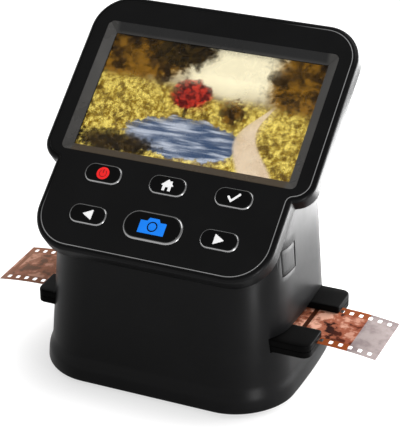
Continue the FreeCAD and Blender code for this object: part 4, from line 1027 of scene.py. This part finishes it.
class SCANNER_OT_tray(Operator):
    """Build the tray's cover with its window and forked ends"""
    bl_idname = "scanner.tray"
    bl_label = "Film tray"

    def execute(self, context):
        low, high = (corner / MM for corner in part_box("tray_upper_frame"))
        left, right, near, far = low.x, high.x, low.y, high.y
        below, above = TRAY_Y - TRAY_NOTCH, TRAY_Y + TRAY_NOTCH
        line = rounded([
            (left, near, FORK_END), (right, near, FORK_END),
            (right, below, FORK_TIP), (TRAY_FORK, below, FORK_ROOT),
            (TRAY_FORK, above, FORK_ROOT), (right, above, FORK_TIP),
            (right, far, FORK_END), (left, far, FORK_END),
            (left, above, FORK_TIP), (-TRAY_FORK, above, FORK_ROOT),
            (-TRAY_FORK, below, FORK_ROOT), (left, below, FORK_TIP),
        ])
        window = [(x, y + TRAY_Y) for x, y in bar_outline(*TRAY_WINDOW, 0.0)]
        mesh = plate("tray_cover", line, [window], low.z, high.z, TRAY_EASE, lambda x, y, z: (x, y, z))
        add_piece("tray_cover", mesh, finishes()["tray_black"], "tray", ["tray_upper_frame"])
        return {"FINISHED"}


INPUT_KINDS = {
    "NodeSocketInt": int,
    "NodeSocketFloat": float,
    "NodeSocketVector": tuple,
    "NodeSocketMaterial": bpy.types.Material,
}


def node_tree(name, values):
    """A Geometry Nodes tree with a named input for each value; returns it with those inputs."""
    tree = bpy.data.node_groups.new(name, "GeometryNodeTree")
    tree.interface.new_socket("Geometry", in_out="OUTPUT", socket_type="NodeSocketGeometry")
    for label, value in values.items():
        kind = next(kind for kind, held in INPUT_KINDS.items() if isinstance(value, held))
        tree.interface.new_socket(label, in_out="INPUT", socket_type=kind).default_value = value
    given = add_node(tree, "NodeGroupInput").outputs
    return tree, {socket.name: Amount(tree, socket) for socket in given}


def dressed(tree, geometry, finish):
    """Ends a tree: its instances made real, and its finish set."""
    real = first_of(tree, "GeometryNodeRealizeInstances", {0: geometry})
    covered = first_of(tree, "GeometryNodeSetMaterial", {"Geometry": real, "Material": finish})
    add_node(tree, "NodeGroupOutput", {0: covered})
    return tree


def vector_of(tree, x=0.0, y=0.0, z=0.0):
    return first_of(tree, "ShaderNodeCombineXYZ", {0: x, 1: y, 2: z})


def moved(tree, geometry, offset):
    return first_of(tree, "GeometryNodeTransform", {"Geometry": geometry, "Translation": offset})


def merged(tree, parts, distance):
    whole = first_of(tree, "GeometryNodeJoinGeometry", {0: parts})
    return first_of(tree, "GeometryNodeMergeByDistance", {"Geometry": whole, "Distance": distance * MM})


def copied(tree, points, piece, **more):
    inputs = {"Points": points, "Instance": piece, **more}
    return first_of(tree, "GeometryNodeInstanceOnPoints", inputs)


def perforated_strip(values):
    """Tree: one cell of film with two perforations, repeated along X, closed at both ends and thickened."""
    tree, given = node_tree("perforated_strip", values)
    pitch, wide, tab_long = given["Pitch"], given["Width"], given["End Tab"]

    def rectangle(across, along):
        return first_of(tree, "GeometryNodeCurvePrimitiveQuadrilateral", {"Width": across, "Height": along})

    def filled(*lines):
        whole = first_of(tree, "GeometryNodeJoinGeometry", {0: list(lines)})
        return first_of(tree, "GeometryNodeFillCurve", {"Curve": whole})

    corners = {
        "Curve": rectangle(given["Hole Width"], given["Hole Height"]), "Radius": given["Hole Round"],
        "Count": HOLE_STEPS,
    }
    hole = first_of(tree, "GeometryNodeFilletCurve", corners, mode="POLY")
    reach = (wide - given["Hole Height"]) / 2.0 - given["Margin"]
    holes = [moved(tree, hole, vector_of(tree, y=level)) for level in (reach, reach * -1.0)]
    cell = filled(rectangle(pitch, wide), *holes)
    line = first_of(tree, "GeometryNodeMeshLine", {
        "Count": given["Holes"], "Start Location": given["Start"], "Offset": vector_of(tree, x=pitch),
    })
    cells = first_of(tree, "GeometryNodeRealizeInstances", {0: copied(tree, line, cell)})
    half = (pitch + tab_long) / 2.0
    tab = filled(rectangle(tab_long, wide))
    ends = []
    for shift in (half * -1.0, (given["Holes"] - 1.0) * pitch + half):
        inputs = {0: given["Start"], 1: vector_of(tree, x=shift)}
        ends.append(moved(tree, tab, first_of(tree, "ShaderNodeVectorMath", inputs, operation="ADD")))
    sheet = merged(tree, [cells, *ends], SHEET_MERGE)
    x = axes_of(tree, first_of(tree, "GeometryNodeInputPosition"))[0]
    falls = []
    for side, sign in (("Left", -1.0), ("Right", 1.0)):
        share = ((x - given[side + " From"]) * sign / given["Reach"]).worked("MAXIMUM", 0.0)
        falls.append(share ** 2.0 * (given[side + " Droop"] * -1.0))
    bent = first_of(tree, "GeometryNodeSetPosition", {
        "Geometry": sheet, "Offset": vector_of(tree, z=falls[0] + falls[1]),
    })
    outwards = {
        "Mesh": bent, "Offset": vector_of(tree, z=1.0), "Offset Scale": given["Thickness"],
        "Individual": False,
    }
    thick = first_of(tree, "GeometryNodeExtrudeMesh", outwards, mode="FACES")
    under = first_of(tree, "GeometryNodeFlipFaces", {0: bent})
    return dressed(tree, merged(tree, [thick, under], SKIN_MERGE), given["Film"])


def screw_heads(values):
    """Tree: pan-head screws with a crossed slot, one at each corner of a rectangle."""
    tree, given = node_tree("screw_heads", values)
    radius, height = given["Radius"], given["Height"]
    low = height * 0.5
    drum = first_of(tree, "GeometryNodeMeshCylinder", {
        "Vertices": SCREW_SIDES, "Radius": radius, "Depth": low,
    })
    dome = first_of(tree, "GeometryNodeMeshCone", {
        "Vertices": SCREW_SIDES, "Radius Top": radius * SCREW_CROWN, "Radius Bottom": radius, "Depth": low,
    })
    top = moved(tree, dome, vector_of(tree, z=low * 0.5))
    parts = {"Mesh 2": [drum, top]}
    head = first_of(tree, "GeometryNodeMeshBoolean", parts, operation="UNION", solver="EXACT")
    slots = []
    for size in ((radius * SLOT_REACH, given["Slot"]), (given["Slot"], radius * SLOT_REACH)):
        cube = first_of(tree, "GeometryNodeMeshCube", {"Size": vector_of(tree, *size, height)})
        slots.append(moved(tree, cube, vector_of(tree, z=height)))
    parts = {"Mesh 1": head, "Mesh 2": slots}
    cut = first_of(tree, "GeometryNodeMeshBoolean", parts, operation="DIFFERENCE", solver="EXACT")
    corners = first_of(tree, "GeometryNodeMeshGrid", {
        "Size X": given["Across"], "Size Y": given["Along"], "Vertices X": 2, "Vertices Y": 2,
    })
    return dressed(tree, copied(tree, corners, cut, Rotation=(math.pi, 0.0, SCREW_TURN)), given["Steel"])


def grown(name, build, values):
    """A plain mesh object made by a Geometry Nodes tree with the given input values."""
    piece = bpy.data.objects.new(name, bpy.data.meshes.new(name))
    bpy.context.scene.collection.objects.link(piece)
    modifier = piece.modifiers.new(name, "NODES")
    modifier.node_group = build(values)
    for item in modifier.node_group.interface.items_tree:
        if item.in_out == "INPUT":
            modifier[item.identifier] = values[item.name]
    bpy.context.view_layer.update()
    apply_modifiers(piece)
    if not piece.data.polygons:
        raise RuntimeError(name + " came out empty")
    return piece


class SCANNER_OT_film(Operator):
    """Build the film strip with its perforations, hanging a little at both ends"""
    bl_idname = "scanner.film"
    bl_label = "Film"

    def execute(self, context):
        film = context.scene.scanner_film
        low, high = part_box("film_strip")
        run = (film.holes - 1) * film.pitch
        middle = (low.x + high.x) / 2
        piece = grown("film_sheet", perforated_strip, {
            "Holes": film.holes, "Pitch": film.pitch, "Width": film.wide,
            "Thickness": min(film.thick, high.z - low.z),
            "Hole Width": HOLE_WIDTH * MM, "Hole Height": HOLE_HEIGHT * MM, "Hole Round": HOLE_ROUND * MM,
            "Margin": HOLE_MARGIN * MM, "Start": (middle - run / 2, (low.y + high.y) / 2, low.z),
            "End Tab": (high.x - low.x - run - film.pitch) / 2, "Reach": HANGING * MM,
            "Left From": LEFT_FROM * MM, "Left Droop": film.droop_left,
            "Right From": RIGHT_FROM * MM, "Right Droop": film.droop_right,
            "Film": finishes()["film_amber"],
        })
        settle(piece, "film", ["film_strip"])
        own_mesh(piece)
        return {"FINISHED"}


# Casing below, and the pieces inside

class SCANNER_OT_base(Operator):
    """Add the screws under the base plate"""
    bl_idname = "scanner.base"
    bl_label = "Base screws"

    def execute(self, context):
        steel = surface("screw_steel", SCREW_TONE, 0.34, grain=0.2, Metallic=1.0)
        piece = grown("base_screws", screw_heads, {
            "Across": SCREWS_ACROSS * MM, "Along": SCREWS_ALONG * MM, "Radius": SCREW_RADIUS * MM,
            "Height": SCREW_HEIGHT * MM, "Slot": SCREW_SLOT * MM, "Steel": steel,
        })
        piece.data.transform(Matrix.Translation((0.0, 0.0, -SCREW_SINK * MM)))
        settle(piece, "body", sharp=30.0)
        return {"FINISHED"}


class SCANNER_OT_parts(Operator):
    """Give every CAD node its finish"""
    bl_idname = "scanner.parts"
    bl_label = "Finish the CAD nodes"

    def execute(self, context):
        looks = finishes()
        for row in frame["record"]["subparts"]:
            mesh = frame["nodes"][row["node"]].data
            mesh.materials.clear()
            mesh.materials.append(looks[row["material_slot"]])
        return {"FINISHED"}


# Stage

# The floor's glow grows away from the scanner, seen and mirrored, so that its dimming paints a soft shadow
# round it: from, to, share at the start
SHADOW_SEEN, SHADOW_MIRRORED = (0.02, 0.06, 0.62), (0.05, 0.35, 0.42)
FLOOR_GREY, FLOOR_HALF = 0.42, 6.0
SKY_HIGH, SKY_DIM, SKY_LIGHT = 0.55, 0.1, 0.3


def floor_finish():
    """White floor that keeps the lamps' shadow near the scanner, with a painted shadow where its glow is
    dimmed round it, and fades to plain white away from it.
    """
    material, tree, shader = new_material("floor_white")
    past = []
    for axis, reach in zip(axes_of(tree, object_place(tree)), (TOWER_HALF, -TOWER_FRONT)):
        outside = abs(axis) - (reach - TOWER_ROUND) * MM
        past.append(outside.worked("MAXIMUM", 0.0) ** 2.0)
    span = (past[0] + past[1]).worked("SQRT")
    path = add_node(tree, "ShaderNodeLightPath").outputs
    seen = Amount(tree, path["Is Camera Ray"]).worked("ADD", path["Is Transmission Ray"], clamp=True)
    mirrored = Amount(tree, path["Is Glossy Ray"]) * span.ramp(*SHADOW_MIRRORED)
    feed(tree, shader, {
        "Base Color": (FLOOR_GREY, FLOOR_GREY, FLOOR_GREY), "Roughness": 0.9, "Specular IOR Level": 0.0,
        "Emission Color": (1.0, 1.0, 1.0), "Emission Strength": seen * span.ramp(*SHADOW_SEEN) + mirrored,
    })
    return material


def world_light():
    """White background that lights the scanner weakly, and dims upwards in reflections."""
    world = bpy.data.worlds.new("studio")
    bpy.context.scene.world = world
    world.use_nodes = True
    tree = world.node_tree
    path = add_node(tree, "ShaderNodeLightPath").outputs
    place = add_node(tree, "ShaderNodeTexCoord").outputs["Generated"]
    height = axes_of(tree, place)[2].ramp(0.0, SKY_HIGH, 1.0, SKY_DIM)
    shiny = Amount(tree, path["Is Glossy Ray"]).worked("ADD", path["Is Transmission Ray"], clamp=True)
    seen = Amount(tree, path["Is Camera Ray"]).worked("ADD", shiny * height, clamp=True)
    strength = seen.worked("ADD", SKY_LIGHT, clamp=True)
    feed(tree, tree.nodes["Background"], {"Color": (1.0, 1.0, 1.0), "Strength": strength})


SOFT_BOXES = {
    # name: place, aim and size in metres, watts
    "top": ((0.35, 0.45, 1.2), (0.0, 0.0, 0.05), (0.8, 0.8), 6.5),
    "back_right": ((0.14, 0.125, 0.04), (0.05, 0.0, 0.06), (0.22, 0.06), 0.42),
    "far_right": ((0.2, 0.21, 0.1), (0.06, 0.0, 0.09), (0.4, 0.1), 1.1),
    "right": ((0.16, 0.06, 0.036), (0.05, -0.02, 0.06), (0.1, 0.05), 0.12),
    "back_left": ((-0.5, 0.3, 0.12), (-0.04, 0.0, 0.07), (0.25, 0.24), 0.8),
    "front_strip": ((0.18, -0.125, 0.045), (0.05, -0.03, 0.06), (0.03, 0.08), 0.12),
}
# Metres and degrees
CAMERA_PLACE, CAMERA_TURN = (0.3310731, -0.6998774, 0.4795567), (62.196, 1.044, 24.273)
FOCAL_LENGTH, SENSOR_WIDTH, NEAREST, FARTHEST = 150.313, 36.0, 0.01, 50.0


class SCANNER_OT_stage(Operator):
    """Set up the floor, the soft boxes, the world and the camera"""
    bl_idname = "scanner.stage"
    bl_label = "Stage"

    def execute(self, context):
        scene = context.scene
        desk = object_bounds()[0][2]
        corners = ((-1, -1), (1, -1), (1, 1), (-1, 1))
        mesh = bpy.data.meshes.new("floor")
        mesh.from_pydata([(x * FLOOR_HALF, y * FLOOR_HALF, desk) for x, y in corners], [], [(0, 1, 2, 3)])
        new_piece("floor", mesh, floor_finish())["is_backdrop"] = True
        world_light()
        for name, (place, aim, size, watts) in SOFT_BOXES.items():
            light = bpy.data.lights.new(name, "AREA")
            light.shape, light.size, light.size_y, light.energy = "RECTANGLE", size[0], size[1], watts
            lamp = bpy.data.objects.new(name, light)
            lamp.location = place
            lamp.rotation_euler = (Vector(aim) - Vector(place)).to_track_quat("-Z", "Y").to_euler()
            lamp.visible_camera = False
            scene.collection.objects.link(lamp)
        lens = bpy.data.cameras.new("camera")
        lens.lens, lens.sensor_width = FOCAL_LENGTH, SENSOR_WIDTH
        lens.clip_start, lens.clip_end = NEAREST, FARTHEST
        camera = bpy.data.objects.new("camera", lens)
        camera.location = CAMERA_PLACE
        camera.rotation_euler = tuple(math.radians(angle) for angle in CAMERA_TURN)
        scene.collection.objects.link(camera)
        scene.camera = camera
        scene.view_settings.view_transform = "Standard"
        return {"FINISHED"}


STEPS = (
    SCANNER_OT_stage, SCANNER_OT_parts, SCANNER_OT_tower, SCANNER_OT_flap, SCANNER_OT_head,
    SCANNER_OT_buttons, SCANNER_OT_tray, SCANNER_OT_film, SCANNER_OT_base,
)


class SCANNER_PT_panel(Panel):
    """Settings and building steps of the film scanner"""
    bl_label = "Film scanner"
    bl_idname = "SCANNER_PT_panel"
    bl_space_type = "VIEW_3D"
    bl_region_type = "UI"
    bl_category = "Film scanner"

    def draw(self, context):
        for name, group in SETTINGS.items():
            box = self.layout.box()
            for label in group.__annotations__:
                box.prop(getattr(context.scene, name), label)
        for step in STEPS:
            self.layout.operator(step.bl_idname)


CLASSES = (*SETTINGS.values(), *STEPS, SCANNER_PT_panel)


def register():
    for item in CLASSES:
        bpy.utils.register_class(item)
    for name, group in SETTINGS.items():
        setattr(bpy.types.Scene, name, PointerProperty(type=group))


def unregister():
    for name in SETTINGS:
        delattr(bpy.types.Scene, name)
    for item in reversed(CLASSES):
        bpy.utils.unregister_class(item)


def main():
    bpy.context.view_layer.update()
    register()
    for step in STEPS:
        group, name = step.bl_idname.split(".")
        getattr(getattr(bpy.ops, group), name)()


if __name__ == "__main__":
    main()
